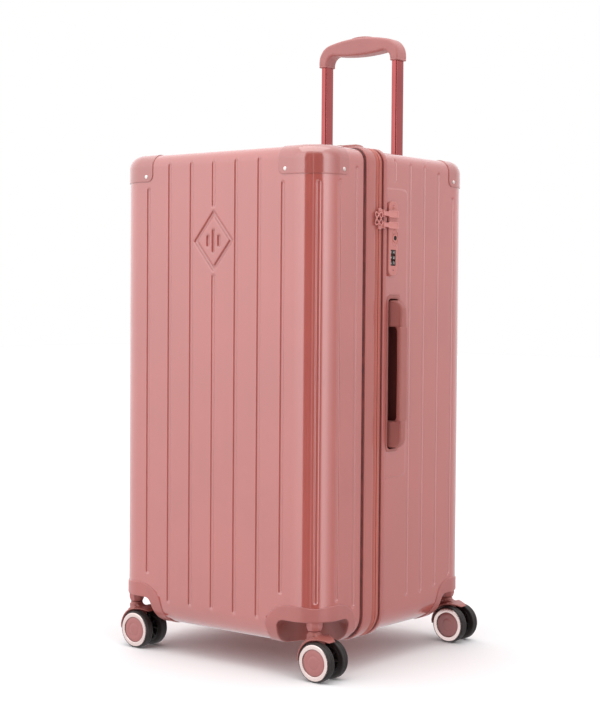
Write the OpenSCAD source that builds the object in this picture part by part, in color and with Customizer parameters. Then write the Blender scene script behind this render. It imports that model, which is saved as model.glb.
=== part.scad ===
/* [Case] */
// Width of the shells, left to right
case_w = 393; // [380:1:410]
// Depth of the shells, front to back
case_d = 387; // [380:1:400]
// Height of the shells' top above the floor
case_top = 750; // [720:1:780]
// Height of the shells' underside above the floor
case_bottom = 43; // [40:1:45]
// Thickness of the moulded shells
wall = 2.2; // [2:0.1:2.6]

/* [Zip and trim] */
// Distance from the case's centre to the middle of the zip, towards the front
zip_y = 60; // [58:1:62]
// How far the trim bands stand proud of the shells
trim_proud = 4; // [3:0.5:5]
// Height at which the zip's tape ends on the hinge side
tape_end_z = 130; // [110:5:160]

/* [Casters] */
// Diameter of a wheel
wheel_d = 56; // [54:1:58]
// Width of one wheel
wheel_w = 14.5; // [13:0.5:15]
// Distance from the swivel axis to the wheel axle
caster_trail = 16.5; // [12:0.5:17]

/* [Trolley] */
// Distance between the two tubes' centres
tube_pitch = 141.2; // [135:0.1:145]
// Height of the grip's top above the floor, at the first stop
grip_top = 960.5; // [940:0.5:970]
// Width of the grip
grip_w = 160; // [158:1:164]

/* [Handles] */
// Length of each carry handle
handle_len = 216; // [210:1:217]
// Width of each carry handle
handle_w = 19; // [17:1:20]
// How far each carry handle stands proud of the shell
handle_proud = 21.5; // [20:0.5:24]

/* [Lock] */
// Diameter of a number dial
dial_d = 18; // [16:0.5:18]
// Distance between neighbouring dials
dial_pitch = 7.8; // [7.8:0.1:8.2]

/* [Hidden] */
$fn = 64;
// Segments of the grip's two large circles
smooth_sides = 400;
far = 600;

// Shell outline
half_w = case_w / 2;
half_d = case_d / 2;
corner_r = 49;
top_r = 19;
bottom_r = 38;

// Stations across the zip, front to back
front_trim_y = -zip_y - 30;
front_rim_y = -zip_y - 9;
back_rim_y = -zip_y + 12;
back_trim_y = -zip_y + 21;
lip = 2;
tape_gap = 0.3;
tape_proud = 3;
tape_t = 1.5;

// Lining
lining_gap = 0.4;
lining_t = 1;
lining_back_y = 150;

// Corner guards and rivets
guard_x = 121;
guard_y = 128;
guard_z = 709;
guard_proud = 1.2;
guard_corner_r = 10;
rivet_x = 134;
rivet_z = 717;
rivet_y = 141;
rivet_head_r = 3;
rivet_head_t = 0.8;
rivet_r = 1.5;

// Casters
swivel_x = half_w - 22.8;
swivel_y = half_d - 22.7;
wheel_r = wheel_d / 2;
wheel_gap = 18;
axle_r = 3;
run_gap = 0.06;
collar_z = 68;
well_r = 55;
well_z = 81;
housing_wall = 3;
well_chamfer = 8;
kingpin_r = 4;
fork_z = 52;
fender_w = 38;

// Trolley
tube_x = tube_pitch / 2;
tube_y = 169.7;
bezel_half_w = 93;
bezel_y0 = 154;
bezel_y1 = 185.6;
bezel_wall = 1.6;
bezel_z = 709;
grip_leg_w = 16;
grip_leg_z = grip_top - 42.5;
grip_under_z = grip_top - 29;
grip_half_d = 13.5;
grip_corner_r = 28;
grip_crown_r = 250;
grip_crown = 5.2;
grip_belly_r = 330;
grip_button_len = 40;
inner_tube = [11, 21];
middle_tube = [14.2, 24.2];
outer_tube = [17.4, 27.4];
tube_t = 1.1;

// Carry handles, in a frame with +X along the handle and +Z out of the shell
cup_len = 224.5;
cup_w = 30;
cup_wall = 2.2;
cup_depth = 19;
cup_lip = 1.6;
side_handle_y = -18;
side_handle_z = 426.2;
top_handle_y = 30;

// Lock, centred on the flat panel
lock_y0 = -36.5;
lock_y1 = -13.5;
lock_z0 = 570;
lock_z1 = 678;
lock_face_x = half_w + 5;
lock_back_x = half_w - 16.5;
dial_y = -25;
dial_z = 596.2;
dial_w = 6.6;
dial_proud = 0.8;
spindle_r = 1.5;
key_y = -21;
key_z = 625;
key_r = 6;
button_y = -25;
button_z = 670;
button_r = 2.3;

// Pull tabs
pivot_x = half_w + 6.7;
pivot_y = -52.8;
tab_t = 2.8;
eye_r = 2.1;
bridge_r = 1.2;
upper_tab_z = 659.4;
lower_tab_z = 643.2;

// ---- outlines ----

module rounded_outline(w, z0, z1, r_low, r_high) {
    translate([-w / 2, z0 + r_low])
        square([w, z1 - z0 - r_low - r_high]);
    translate([-w / 2 + r_low, z0])
        square([w - 2 * r_low, r_low]);
    translate([-w / 2 + r_high, z1 - r_high])
        square([w - 2 * r_high, r_high]);
    for (s = [-1, 1]) {
        translate([s * (w / 2 - r_low), z0 + r_low])
            circle(r = r_low);
        translate([s * (w / 2 - r_high), z1 - r_high])
            circle(r = r_high);
    }
}

// Front view outline of the case, grown by g on every side, drawn from y0 to y1
module case_band(g, y0, y1) {
    translate([0, y1, 0])
        rotate([90, 0, 0])
            linear_extrude(y1 - y0)
                rounded_outline(case_w + 2 * g, case_bottom - g, case_top + g, bottom_r + g, top_r + g);
}

// Section through a round vertical corner, from its centre outward
module corner_section(g) {
    intersection() {
        rounded_outline(2 * (corner_r + g), case_bottom - g, case_top + g, bottom_r + g, top_r + g);
        square([far, far + 400]);
    }
}

// The whole case as one solid, grown by g on every side: one section swept round the plan
module case_solid(g) {
    case_band(g, corner_r - half_d, half_d - corner_r);
    translate([corner_r - half_w, 0, 0])
        rotate([90, 0, 90])
            linear_extrude(case_w - 2 * corner_r)
                rounded_outline(case_d + 2 * g, case_bottom - g, case_top + g, bottom_r + g, top_r + g);
    for (sx = [-1, 1], sy = [-1, 1])
        translate([sx * (half_w - corner_r), sy * (half_d - corner_r), 0])
            rotate_extrude()
                corner_section(g);
}

module box(x0, x1, y0, y1, z0, z1) {
    translate([x0, y0, z0])
        cube([x1 - x0, y1 - y0, z1 - z0]);
}

// Repeats its children on the right and, mirrored, on the left
module both_sides() {
    children();
    mirror([1, 0, 0])
        children();
}

module to_front() {
    mirror([0, 1, 0])
        children();
}

// ---- wheel housings ----

// Corner region taken by a housing, as seen from the front and from the side
module housing_region(g) {
    intersection() {
        rotate([90, 0, 0])
            translate([0, 0, -far / 2])
                linear_extrude(far)
                    polygon([[141 - g, 104.8 + g], [127 - g, 100.5 + g], [113 - g, 92 + g],
                             [106 - g, 84 + g], [102.5 - g, 76 + g], [101 - g, 68], [101.5 - g, 58],
                             [100 - g, 50], [94 - g, 45], [92 - g, 30], [220, 30], [220, 104.8 + g]]);
        rotate([90, 0, 90])
            translate([0, 0, -far / 2])
                linear_extrude(far)
                    polygon([[142 - g, 104.8 + g], [128 - g, 101.5 + g], [117 - g, 95 + g],
                             [110 - g, 86.5 + g], [106.5 - g, 77 + g], [104 - g, 68], [102 - g, 58],
                             [99 - g, 50], [92.5 - g, 45], [90.8 - g, 30], [220, 30],
                             [220, 104.8 + g]]);
    }
}

// Space in which a caster swings, with its upper edge bevelled
module wheel_well(g) {
    translate([swivel_x, swivel_y, 0]) {
        cylinder(r = well_r + g, h = well_z - well_chamfer + g);
        translate([0, 0, well_z - well_chamfer + g])
            cylinder(r1 = well_r + g, r2 = well_r + g - well_chamfer, h = well_chamfer);
    }
}

// A skin over the corner with the well's wall and roof inside it, open above
module wheel_housing() {
    difference() {
        union() {
            difference() {
                intersection() {
                    case_solid(guard_proud);
                    housing_region(0);
                }
                wheel_well(0);
                difference() {
                    case_solid(-housing_wall);
                    wheel_well(housing_wall);
                }
            }
            translate([swivel_x, swivel_y, collar_z])
                cylinder(r = 12, h = well_z - collar_z + 12);
        }
        translate([swivel_x, swivel_y, 0])
            cylinder(r = kingpin_r + run_gap, h = 120);
    }
}

// ---- corner guards ----

module guard_region() {
    intersection() {
        union() {
            box(guard_x, far, guard_y, far, guard_z + guard_corner_r, far + 200);
            box(guard_x + guard_corner_r, far, guard_y + guard_corner_r, far, guard_z, far + 200);
            box(guard_x + guard_corner_r, far, guard_y, far, guard_z + guard_corner_r, far + 200);
            translate([guard_x + guard_corner_r, 0, guard_z + guard_corner_r])
                rotate([-90, 0, 0])
                    cylinder(r = guard_corner_r, h = far);
            translate([0, guard_y + guard_corner_r, guard_z + guard_corner_r])
                rotate([0, 90, 0])
                    cylinder(r = guard_corner_r, h = far);
        }
        box(guard_x, far, guard_y, far, guard_z, far + 200);
    }
}

module rivet_holes() {
    translate([rivet_x, half_d - 10, rivet_z])
        rotate([-90, 0, 0])
            cylinder(r = rivet_r, h = 20);
    translate([half_w - 10, rivet_y, rivet_z])
        rotate([0, 90, 0])
            cylinder(r = rivet_r, h = 20);
}

module corner_guard() {
    difference() {
        intersection() {
            case_solid(guard_proud);
            guard_region();
        }
        case_solid(0);
        rivet_holes();
    }
}

module rivet() {
    cylinder(r = rivet_r, h = wall + guard_proud + 0.6);
    translate([0, 0, wall + guard_proud])
        cylinder(r = rivet_head_r, h = rivet_head_t);
    translate([0, 0, -rivet_head_t])
        cylinder(r = rivet_head_r - 0.6, h = rivet_head_t);
}

module corner_rivets() {
    translate([rivet_x, half_d - wall, rivet_z])
        rotate([-90, 0, 0])
            rivet();
    translate([half_w - wall, rivet_y, rivet_z])
        rotate([0, 90, 0])
            rivet();
}

// ---- carry handles ----

// A carry handle and its cup are drawn lying on the shell: +X along, +Z outward
module carry_cup_block() {
    translate([-cup_len / 2, -cup_w / 2, -cup_depth - cup_wall])
        cube([cup_len, cup_w, cup_depth + cup_wall]);
}

module carry_cup() {
    difference() {
        union() {
            carry_cup_block();
            linear_extrude(cup_lip)
                rounded_outline(cup_len + 5, -cup_w / 2 - 2.5, cup_w / 2 + 2.5, 8, 8);
        }
        translate([0, 0, -cup_depth])
            linear_extrude(cup_depth + cup_lip + 1)
                rounded_outline(cup_len - 2 * cup_wall, -cup_w / 2 + cup_wall, cup_w / 2 - cup_wall, 6, 6);
    }
}

module carry_handle() {
    rotate([90, 0, 0])
        translate([0, 0, -handle_w / 2])
            linear_extrude(handle_w)
                difference() {
                    rounded_outline(handle_len, -12, handle_proud, 3, 15);
                    rounded_outline(handle_len - 78, -20, handle_proud - 8, 3, 8);
                }
}

module place_side_handle() {
    translate([half_w, side_handle_y, side_handle_z])
        rotate([90, 0, 0])
            rotate([0, 90, 0])
                rotate([0, 0, 90])
                    children();
}

module place_top_handle() {
    translate([0, top_handle_y, case_top])
        children();
}

// ---- root: the back half ----

module lock_cutout() {
    box(half_w - 20, half_w + 1, lock_y0 + 2, lock_y1 - 2, lock_z0 + 2, lock_z1 - 2);
}

module bezel_cutout() {
    box(-bezel_half_w, bezel_half_w, bezel_y0, bezel_y1, bezel_z - 10, case_top + 10);
}

module back_shell() {
    color("#c98c8a")
        difference() {
            case_solid(0);
            case_solid(-wall);
            box(-far, far, -far, back_rim_y + lip, 0, far + 400);
            both_sides()
                housing_region(0);
            both_sides()
                rivet_holes();
            lock_cutout();
            bezel_cutout();
            place_side_handle()
                carry_cup_block();
            place_top_handle()
                carry_cup_block();
        }
}

// Band from y0 to y1 with a seat for the shell from seat0 to seat1, and a lip over the shell's rim
module edge_trim(y0, y1, seat0, seat1) {
    difference() {
        case_band(trim_proud, y0, y1);
        case_band(0, seat0, seat1);
        case_band(-wall - 1, y0 - 1, y1 + 1);
    }
}

module back_edge_trim() {
    color("#bd8280")
        edge_trim(back_rim_y, back_trim_y, back_rim_y + lip, back_trim_y + 1);
}

module front_edge_trim() {
    color("#bd8280")
        edge_trim(front_trim_y, front_rim_y, front_trim_y - 1, front_rim_y - lip);
}

// Zip tape, left open along the hinge side
module zip_tape(y0, y1) {
    difference() {
        case_band(tape_proud, y0, y1);
        case_band(tape_proud - tape_t, y0 - 1, y1 + 1);
        box(-far, -half_w + 30, y0 - 1, y1 + 1, tape_end_z, case_top - 80);
    }
}

module zip_tape_back() {
    color("#c9746b")
        zip_tape(-zip_y + tape_gap, back_rim_y);
}

module zip_tape_front() {
    color("#c9746b")
        zip_tape(front_rim_y, -zip_y - tape_gap);
}

module zip_slider(z) {
    x0 = half_w + tape_proud + 0.3;
    box(x0, x0 + 3.2, -zip_y - 4, pivot_y - 3, z - 7.6, z + 7.6);
    for (s = [-1, 1])
        box(x0 + 1.2, pivot_x + 1.6, -zip_y, pivot_y + 1.6, z + s * 6 - 1.4, z + s * 6 + 1.4);
    translate([pivot_x, pivot_y, z - 6])
        cylinder(r = bridge_r, h = 12);
}

module zip_sliders() {
    color("#b98584") {
        zip_slider(upper_tab_z);
        zip_slider(lower_tab_z);
    }
}

module hinge_gusset() {
    color("#8f4f4c")
        box(-half_w - tape_proud, -half_w - tape_proud + tape_t, front_rim_y + 0.3, back_rim_y,
            tape_end_z + 0.5, case_top - 80.5);
}

module corner_guards_back() {
    color("#b97f7d")
        both_sides()
            corner_guard();
}

module rivets_back() {
    color("#eee0da")
        both_sides()
            corner_rivets();
}

module wheel_housings_back() {
    color("#b5736e")
        both_sides()
            wheel_housing();
}

module inner_obstacles(g) {
    both_sides()
        housing_region(g);
    box(half_w - 24, far, lock_y0 - g, lock_y1 + g, lock_z0 - g, lock_z1 + g);
    box(half_w - 24, far, side_handle_y - cup_w / 2 - g, side_handle_y + cup_w / 2 + g,
        side_handle_z - cup_len / 2 - g, side_handle_z + cup_len / 2 + g);
    box(-cup_len / 2 - g, cup_len / 2 + g, top_handle_y - cup_w / 2 - g, top_handle_y + cup_w / 2 + g,
        case_top - 24, far + 400);
    both_sides() {
        box(rivet_x - 4, rivet_x + 4, half_d - 10, half_d, rivet_z - 4, rivet_z + 4);
        box(half_w - 10, half_w, rivet_y - 4, rivet_y + 4, rivet_z - 4, rivet_z + 4);
    }
}

module lining_back() {
    color("#7d6a68")
        difference() {
            intersection() {
                case_solid(-wall - lining_gap);
                box(-far, far, back_rim_y + lip, lining_back_y + lining_t, 0, far + 400);
            }
            intersection() {
                case_solid(-wall - lining_gap - lining_t);
                box(-far, far, -far, lining_back_y, 0, far + 400);
            }
            inner_obstacles(1);
        }
}

module strap_strip() {
    rotate([90, 0, 0])
        translate([0, 0, -0.75])
            linear_extrude(1.5)
                polygon([[-176, -240], [-158, -260], [176, 240], [158, 260]]);
}

module straps_at_plane() {
    translate([0, back_rim_y + 8, 410]) {
        strap_strip();
        mirror([1, 0, 0])
            strap_strip();
    }
}

module packing_straps() {
    color("#3c2f2f")
        straps_at_plane();
}

module strap_buckle() {
    color("#1f1b1b")
        difference() {
            translate([0, back_rim_y + 12, 410])
                rotate([90, 0, 0])
                    linear_extrude(8)
                        rounded_outline(64, -24, 24, 9, 9);
            straps_at_plane();
        }
}

module dial_space(i, g) {
    translate([lock_face_x + dial_proud - dial_d / 2, dial_y, dial_z + i * dial_pitch - dial_w / 2 - g])
        cylinder(r = dial_d / 2 + g, h = dial_w + 2 * g);
}

module lock_housing() {
    color("#b06c68")
        difference() {
            union() {
                translate([half_w, (lock_y0 + lock_y1) / 2, 0])
                    rotate([90, 0, 90])
                        linear_extrude(lock_face_x - half_w)
                            rounded_outline(lock_y1 - lock_y0, lock_z0, lock_z1, 9, 9);
                box(lock_back_x, half_w + 0.5, lock_y0 + 2, lock_y1 - 2, lock_z0 + 2, lock_z1 - 2);
            }
            for (i = [-1, 0, 1])
                dial_space(i, 0.35);
            translate([lock_face_x - 4.8, key_y, key_z])
                rotate([0, 90, 0])
                    cylinder(r = key_r + run_gap, h = 20);
            translate([lock_face_x - 6, button_y, button_z])
                rotate([0, 90, 0])
                    cylinder(r = button_r + run_gap, h = 20);
        }
    color("#9a9a9a")
        translate([lock_face_x + dial_proud - dial_d / 2, dial_y, dial_z - 1.5 * dial_pitch - 1])
            cylinder(r = spindle_r, h = 3 * dial_pitch + 2);
}

module side_handle_cup() {
    color("#a86763")
        place_side_handle()
            carry_cup();
}

module top_handle_cup() {
    color("#a86763")
        place_top_handle()
            carry_cup();
}

module tube_solid(size, z0, z1) {
    both_sides()
        translate([tube_x, tube_y, z0])
            linear_extrude(z1 - z0)
                rounded_outline(size[0], -size[1] / 2, size[1] / 2, 3, 3);
}

module tube_pair(size, z0, z1) {
    difference() {
        tube_solid(size, z0, z1);
        both_sides()
            translate([tube_x, tube_y, z0 - 1])
                linear_extrude(z1 - z0 + 2)
                    rounded_outline(size[0] - 2 * tube_t, -size[1] / 2 + tube_t, size[1] / 2 - tube_t, 2, 2);
    }
}

module trolley_bezel() {
    color("#a05f5b")
        difference() {
            intersection() {
                box(-bezel_half_w, bezel_half_w, bezel_y0, bezel_y1, bezel_z, case_top + 1);
                case_solid(0.8);
            }
            box(-bezel_half_w + bezel_wall, bezel_half_w - bezel_wall, bezel_y0 + bezel_wall,
                bezel_y1 - bezel_wall, bezel_z + 5, case_top + 10);
            tube_solid(outer_tube, bezel_z - 1, bezel_z + 10);
        }
}

module trolley_outer_tubes() {
    color("#9d9a9a")
        tube_pair(outer_tube, 112, bezel_z + 5);
}

module trolley_middle_tubes() {
    color("#b3a3a1")
        tube_pair(middle_tube, 250, bezel_z + 5);
}

module trolley_inner_tubes() {
    color("#c9a09d")
        tube_pair(inner_tube, 460, grip_leg_z + 10);
}

// ---- trolley grip, a crowned bridge over both tubes ----

module grip_outline() {
    rounded_outline(grip_w, grip_leg_z - 20, grip_top - grip_crown, 3, grip_corner_r);
    intersection() {
        translate([0, grip_top - grip_crown_r])
            circle(r = grip_crown_r, $fn = smooth_sides);
        translate([-grip_w / 2 + grip_corner_r, grip_top - grip_crown - 10])
            square([grip_w - 2 * grip_corner_r, 20]);
    }
}

// Finger space under the grip; the bar is thickest in its middle
module grip_opening() {
    difference() {
        rounded_outline(grip_w - 2 * grip_leg_w, grip_leg_z - 60, grip_under_z + 4.5, 3, 14);
        translate([0, grip_under_z + grip_belly_r])
            circle(r = grip_belly_r, $fn = smooth_sides);
    }
}

module trolley_grip() {
    color("#b5736e")
        difference() {
            translate([0, tube_y + grip_half_d, 0])
                rotate([90, 0, 0])
                    linear_extrude(2 * grip_half_d)
                        difference() {
                            grip_outline();
                            grip_opening();
                            translate([-grip_w, grip_leg_z - 40])
                                square([2 * grip_w, 40]);
                        }
            tube_solid(inner_tube, grip_leg_z - 5, grip_leg_z + 10);
            translate([0, tube_y, grip_top - 6])
                linear_extrude(20)
                    rounded_outline(grip_button_len + 0.6, -7.3, 7.3, 7, 7);
        }
}

module trolley_button() {
    color("#a86763")
        translate([0, tube_y, grip_top - 2])
            linear_extrude(4.9)
                rounded_outline(grip_button_len, -7, 7, 6.9, 6.9);
}

// ---- lock pieces ----

module lock_dial(i) {
    color("#26201f")
        difference() {
            dial_space(i, 0);
            translate([lock_face_x + dial_proud - dial_d / 2, dial_y, dial_z + (i - 1) * dial_pitch])
                cylinder(r = spindle_r + run_gap, h = 3 * dial_pitch);
        }
}

module lock_dial_1() {
    lock_dial(1);
}

module lock_dial_2() {
    lock_dial(0);
}

module lock_dial_3() {
    lock_dial(-1);
}

module lock_key_cylinder() {
    color("#c8b2aa")
        difference() {
            translate([lock_face_x - 4.6, key_y, key_z])
                rotate([0, 90, 0])
                    cylinder(r = key_r, h = 5);
            box(lock_face_x - 2.6, far, key_y - 0.9, key_y + 0.9, key_z - 3.2, key_z + 3.2);
        }
}

module lock_button() {
    color("#b98584")
        translate([lock_face_x - 3, button_y, button_z])
            rotate([0, 90, 0])
                cylinder(r = button_r, h = 4);
}

module side_handle() {
    color("#b5736e")
        place_side_handle()
            carry_handle();
}

module top_handle() {
    color("#b5736e")
        place_top_handle()
            carry_handle();
}

// Pull tab: an eye round the bridge, then a blade that widens into the lock
module zip_puller(z) {
    difference() {
        union() {
            translate([pivot_x, pivot_y, z - 3.4])
                cylinder(r = eye_r, h = 6.8);
            translate([pivot_x - tab_t / 2, 0, z])
                rotate([90, 0, 90])
                    linear_extrude(tab_t)
                        polygon([[pivot_y, -3.4], [-42, -3.4], [-38, -5.4],
                                 [-17.1, -5.4], [-15.5, -4.6], [-15.5, 4.6], [-17.1, 5.4], [-38, 5.4],
                                 [-42, 3.4], [pivot_y, 3.4]]);
        }
        translate([pivot_x, pivot_y, z - 5])
            cylinder(r = bridge_r + run_gap, h = 10);
    }
}

module zip_puller_upper() {
    color("#b98584")
        zip_puller(upper_tab_z);
}

module zip_puller_lower() {
    color("#b98584")
        zip_puller(lower_tab_z);
}

// ---- lid: the front half ----

module front_shell() {
    color("#d79a98")
        to_front()
            difference() {
                case_solid(0);
                case_solid(-wall);
                box(-far, far, -far, -front_rim_y + lip, 0, far + 400);
                both_sides()
                    housing_region(0);
                both_sides()
                    rivet_holes();
            }
}

module corner_guards_front() {
    color("#b97f7d")
        to_front()
            both_sides()
                corner_guard();
}

module rivets_front() {
    color("#eee0da")
        to_front()
            both_sides()
                corner_rivets();
}

module wheel_housings_front() {
    color("#b5736e")
        to_front()
            both_sides()
                wheel_housing();
}

module lining_front() {
    color("#7d6a68")
        to_front()
            difference() {
                intersection() {
                    case_solid(-wall - lining_gap);
                    box(-far, far, -front_rim_y + lip, far, 0, far + 400);
                }
                case_solid(-wall - lining_gap - lining_t);
                both_sides()
                    housing_region(1);
                both_sides() {
                    box(rivet_x - 4, rivet_x + 4, half_d - 10, half_d, rivet_z - 4, rivet_z + 4);
                    box(half_w - 10, half_w, rivet_y - 4, rivet_y + 4, rivet_z - 4, rivet_z + 4);
                }
            }
}

// ---- casters, drawn about the swivel axis with the wheels trailing towards +X ----

module caster_fork() {
    color("#a8645f")
        difference() {
            union() {
                cylinder(r = 9, h = collar_z - 0.5 - fork_z);
                cylinder(r = kingpin_r, h = 34);
                fork_web();
                fender();
            }
            translate([caster_trail, 0, wheel_r - fork_z])
                rotate([90, 0, 0])
                    cylinder(r = axle_r, h = far, center = true);
        }
}

// Blade between the wheels, from the stem to the axle, with a short tip on the trailing side
module fork_web() {
    rotate([90, 0, 0])
        translate([0, 0, -7])
            linear_extrude(14) {
                polygon([[-9, 6], [9, 6], [15, 8.4], [13, 3], [caster_trail + 3.5, -14],
                         [caster_trail + 8, wheel_r - fork_z], [caster_trail - 8, wheel_r - fork_z]]);
                translate([caster_trail, wheel_r - fork_z])
                    circle(r = 8);
            }
}

// Hood over the top and the leading side of both wheels
module fender() {
    translate([caster_trail, fender_w / 2, wheel_r - fork_z])
        rotate([90, 0, 0])
            linear_extrude(fender_w)
                intersection() {
                    difference() {
                        circle(r = wheel_r + 5);
                        circle(r = wheel_r + 2.5);
                    }
                    polygon([[0, 0], [8, 60], [-60, 60], [-60, -4]]);
                }
}

module caster_axle() {
    color("#b9b6b3")
        translate([caster_trail, 0, wheel_r - fork_z])
            rotate([90, 0, 0])
                cylinder(r = axle_r, h = wheel_gap + 2 * wheel_w - 5, center = true);
}

// Wheel about its own axis, +Z towards the outer face
module tyre_ring() {
    rotate_extrude()
        union() {
            translate([22, 0])
                square([wheel_r - 24, wheel_w - 1]);
            translate([wheel_r - 2.2, 2])
                square([2.2, wheel_w - 5]);
            translate([wheel_r - 2, 2])
                circle(r = 2);
            translate([wheel_r - 2, wheel_w - 3])
                circle(r = 2);
        }
}

module hub_disc() {
    difference() {
        union() {
            cylinder(r = 22, h = wheel_w - 1);
            translate([0, 0, wheel_w - 1])
                cylinder(r = 25.5, h = 1);
        }
        translate([0, 0, -1])
            cylinder(r = axle_r + run_gap, h = wheel_w - 1.2);
        difference() {
            translate([0, 0, -1])
                cylinder(r = 19, h = 6);
            translate([0, 0, -2])
                cylinder(r = 7, h = 8);
        }
    }
}

// side is 1 for the wheel on the +Y face of the fork and -1 for the other one
module place_wheel(side) {
    translate([caster_trail, side * wheel_gap / 2, wheel_r - fork_z])
        rotate([-90 * side, 0, 0])
            children();
}

module place_caster(sx, sy) {
    translate([sx * swivel_x, sy * swivel_y, fork_z])
        children();
}

module tyre(sx, sy, side) {
    color("#2a2423")
        place_caster(sx, sy)
            place_wheel(side)
                tyre_ring();
}

module hub(sx, sy, side) {
    color("#d9b3ae")
        place_caster(sx, sy)
            place_wheel(side)
                hub_disc();
}

back_shell();
back_edge_trim();
zip_tape_back();
zip_sliders();
hinge_gusset();
corner_guards_back();
rivets_back();
wheel_housings_back();
lining_back();
packing_straps();
strap_buckle();
lock_housing();
side_handle_cup();
top_handle_cup();
trolley_bezel();
trolley_outer_tubes();
lock_button();
lock_dial_1();
lock_dial_2();
lock_dial_3();
lock_key_cylinder();
side_handle();
top_handle();
trolley_middle_tubes();
trolley_inner_tubes();
trolley_grip();
trolley_button();
zip_puller_upper();
zip_puller_lower();
front_shell();
front_edge_trim();
zip_tape_front();
corner_guards_front();
rivets_front();
wheel_housings_front();
lining_front();
place_caster(-1, -1) caster_fork();  // front_left_fork
place_caster(-1, -1) caster_axle();  // front_left_axle
tyre(-1, -1, 1);  // front_left_inner_tyre
hub(-1, -1, 1);  // front_left_inner_hub
tyre(-1, -1, -1);  // front_left_outer_tyre
hub(-1, -1, -1);  // front_left_outer_hub
place_caster(1, -1) caster_fork();  // front_right_fork
place_caster(1, -1) caster_axle();  // front_right_axle
tyre(1, -1, 1);  // front_right_inner_tyre
hub(1, -1, 1);  // front_right_inner_hub
tyre(1, -1, -1);  // front_right_outer_tyre
hub(1, -1, -1);  // front_right_outer_hub
place_caster(-1, 1) caster_fork();  // rear_left_fork
place_caster(-1, 1) caster_axle();  // rear_left_axle
tyre(-1, 1, -1);  // rear_left_inner_tyre
hub(-1, 1, -1);  // rear_left_inner_hub
tyre(-1, 1, 1);  // rear_left_outer_tyre
hub(-1, 1, 1);  // rear_left_outer_hub
place_caster(1, 1) caster_fork();  // rear_right_fork
place_caster(1, 1) caster_axle();  // rear_right_axle
tyre(1, 1, -1);  // rear_right_inner_tyre
hub(1, 1, -1);  // rear_right_inner_hub
tyre(1, 1, 1);  // rear_right_outer_tyre
hub(1, 1, 1);  // rear_right_outer_hub
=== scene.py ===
import math

import bpy
import numpy as np
import openvdb
from mathutils import Matrix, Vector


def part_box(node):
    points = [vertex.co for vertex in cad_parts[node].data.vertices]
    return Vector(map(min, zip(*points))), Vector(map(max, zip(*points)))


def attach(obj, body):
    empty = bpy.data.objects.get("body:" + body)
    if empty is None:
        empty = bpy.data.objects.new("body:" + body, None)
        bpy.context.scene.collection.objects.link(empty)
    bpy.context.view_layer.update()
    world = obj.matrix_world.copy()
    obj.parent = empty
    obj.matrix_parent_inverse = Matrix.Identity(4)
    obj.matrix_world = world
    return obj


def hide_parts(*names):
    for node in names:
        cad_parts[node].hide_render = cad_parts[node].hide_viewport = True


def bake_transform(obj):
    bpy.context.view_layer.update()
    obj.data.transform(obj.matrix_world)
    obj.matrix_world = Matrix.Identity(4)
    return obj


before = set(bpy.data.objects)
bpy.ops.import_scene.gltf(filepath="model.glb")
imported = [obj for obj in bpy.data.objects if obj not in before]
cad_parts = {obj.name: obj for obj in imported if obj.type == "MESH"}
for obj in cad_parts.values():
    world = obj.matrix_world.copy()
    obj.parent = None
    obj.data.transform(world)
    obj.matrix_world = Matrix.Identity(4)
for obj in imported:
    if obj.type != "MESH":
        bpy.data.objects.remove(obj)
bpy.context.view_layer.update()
MM = 0.001


# ---- the case's driving sizes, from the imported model, in millimetres ----

def mm_box(node):
    lo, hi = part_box(node)
    return np.array(lo) / MM, np.array(hi) / MM


shell_lo, shell_hi = mm_box("front_shell")
HALF_W, HALF_D = shell_hi[0], -shell_lo[1]
TOP, BOTTOM = shell_hi[2], shell_lo[2]
FRONT_RIM = -shell_hi[1]
BACK_RIM = mm_box("back_shell")[0][1]
CORNER_R, TOP_R, BOTTOM_R = 49.0, 19.0, 38.0
WALL = 2.2
PROUD = 1.2                                             # guards and housings stand out by this
SWIVEL = (HALF_W - 22.8, HALF_D - 22.7)
HALVES = (("front", -1, "lid"), ("back", 1, "root"))    # label, side along Y, body


# ---- distance fields: negative inside, in millimetres ----

def rounded(a, b, r):
    """Where both fields are below zero, with the edge between them rounded by r; both come raised by r."""
    return np.minimum(np.maximum(a, b), 0.0) + np.hypot(np.maximum(a, 0.0), np.maximum(b, 0.0)) - r


def smin(a, b, k):
    h = np.maximum(k - np.abs(a - b), 0.0) / k
    return np.minimum(a, b) - h * h * k * 0.25


def smax(a, b, k):
    return -smin(-a, -b, k)


def rrect(u, v, hu, hv, r):
    return rounded(np.abs(u) - hu + r, np.abs(v) - hv + r, r)


def extrude(d, w, half, r):
    return rounded(d + r, np.abs(w) - half + r, r)


def slab(x, y, z, lo, hi, r):
    c = [(a + b) / 2 for a, b in zip(lo, hi)]
    h = [(b - a) / 2 for a, b in zip(lo, hi)]
    return extrude(rrect(x - c[0], y - c[1], h[0], h[1], r), z - c[2], h[2], r)


def dip(t):
    """Falls smoothly from 1 to 0 while t goes from 0 to 1."""
    return 0.5 * (1 + np.cos(math.pi * np.clip(t, 0, 1)))


def polygon(u, v, pts):
    pts = np.asarray(pts, float)
    best, inside = np.inf, False
    for (ax, ay), (bx, by) in zip(pts, np.roll(pts, -1, 0)):
        ex, ey = bx - ax, by - ay
        wx, wy = u - ax, v - ay
        t = np.clip((wx * ex + wy * ey) / (ex * ex + ey * ey), 0, 1)
        best = np.minimum(best, (wx - ex * t) ** 2 + (wy - ey * t) ** 2)
        crosses = (ay > v) != (by > v)
        slope = np.where(ay == by, 1.0, by - ay)
        inside = inside ^ (crosses & (u < ex * (v - ay) / slope + ax))
    return np.where(inside, -1.0, 1.0) * np.sqrt(best)


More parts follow.
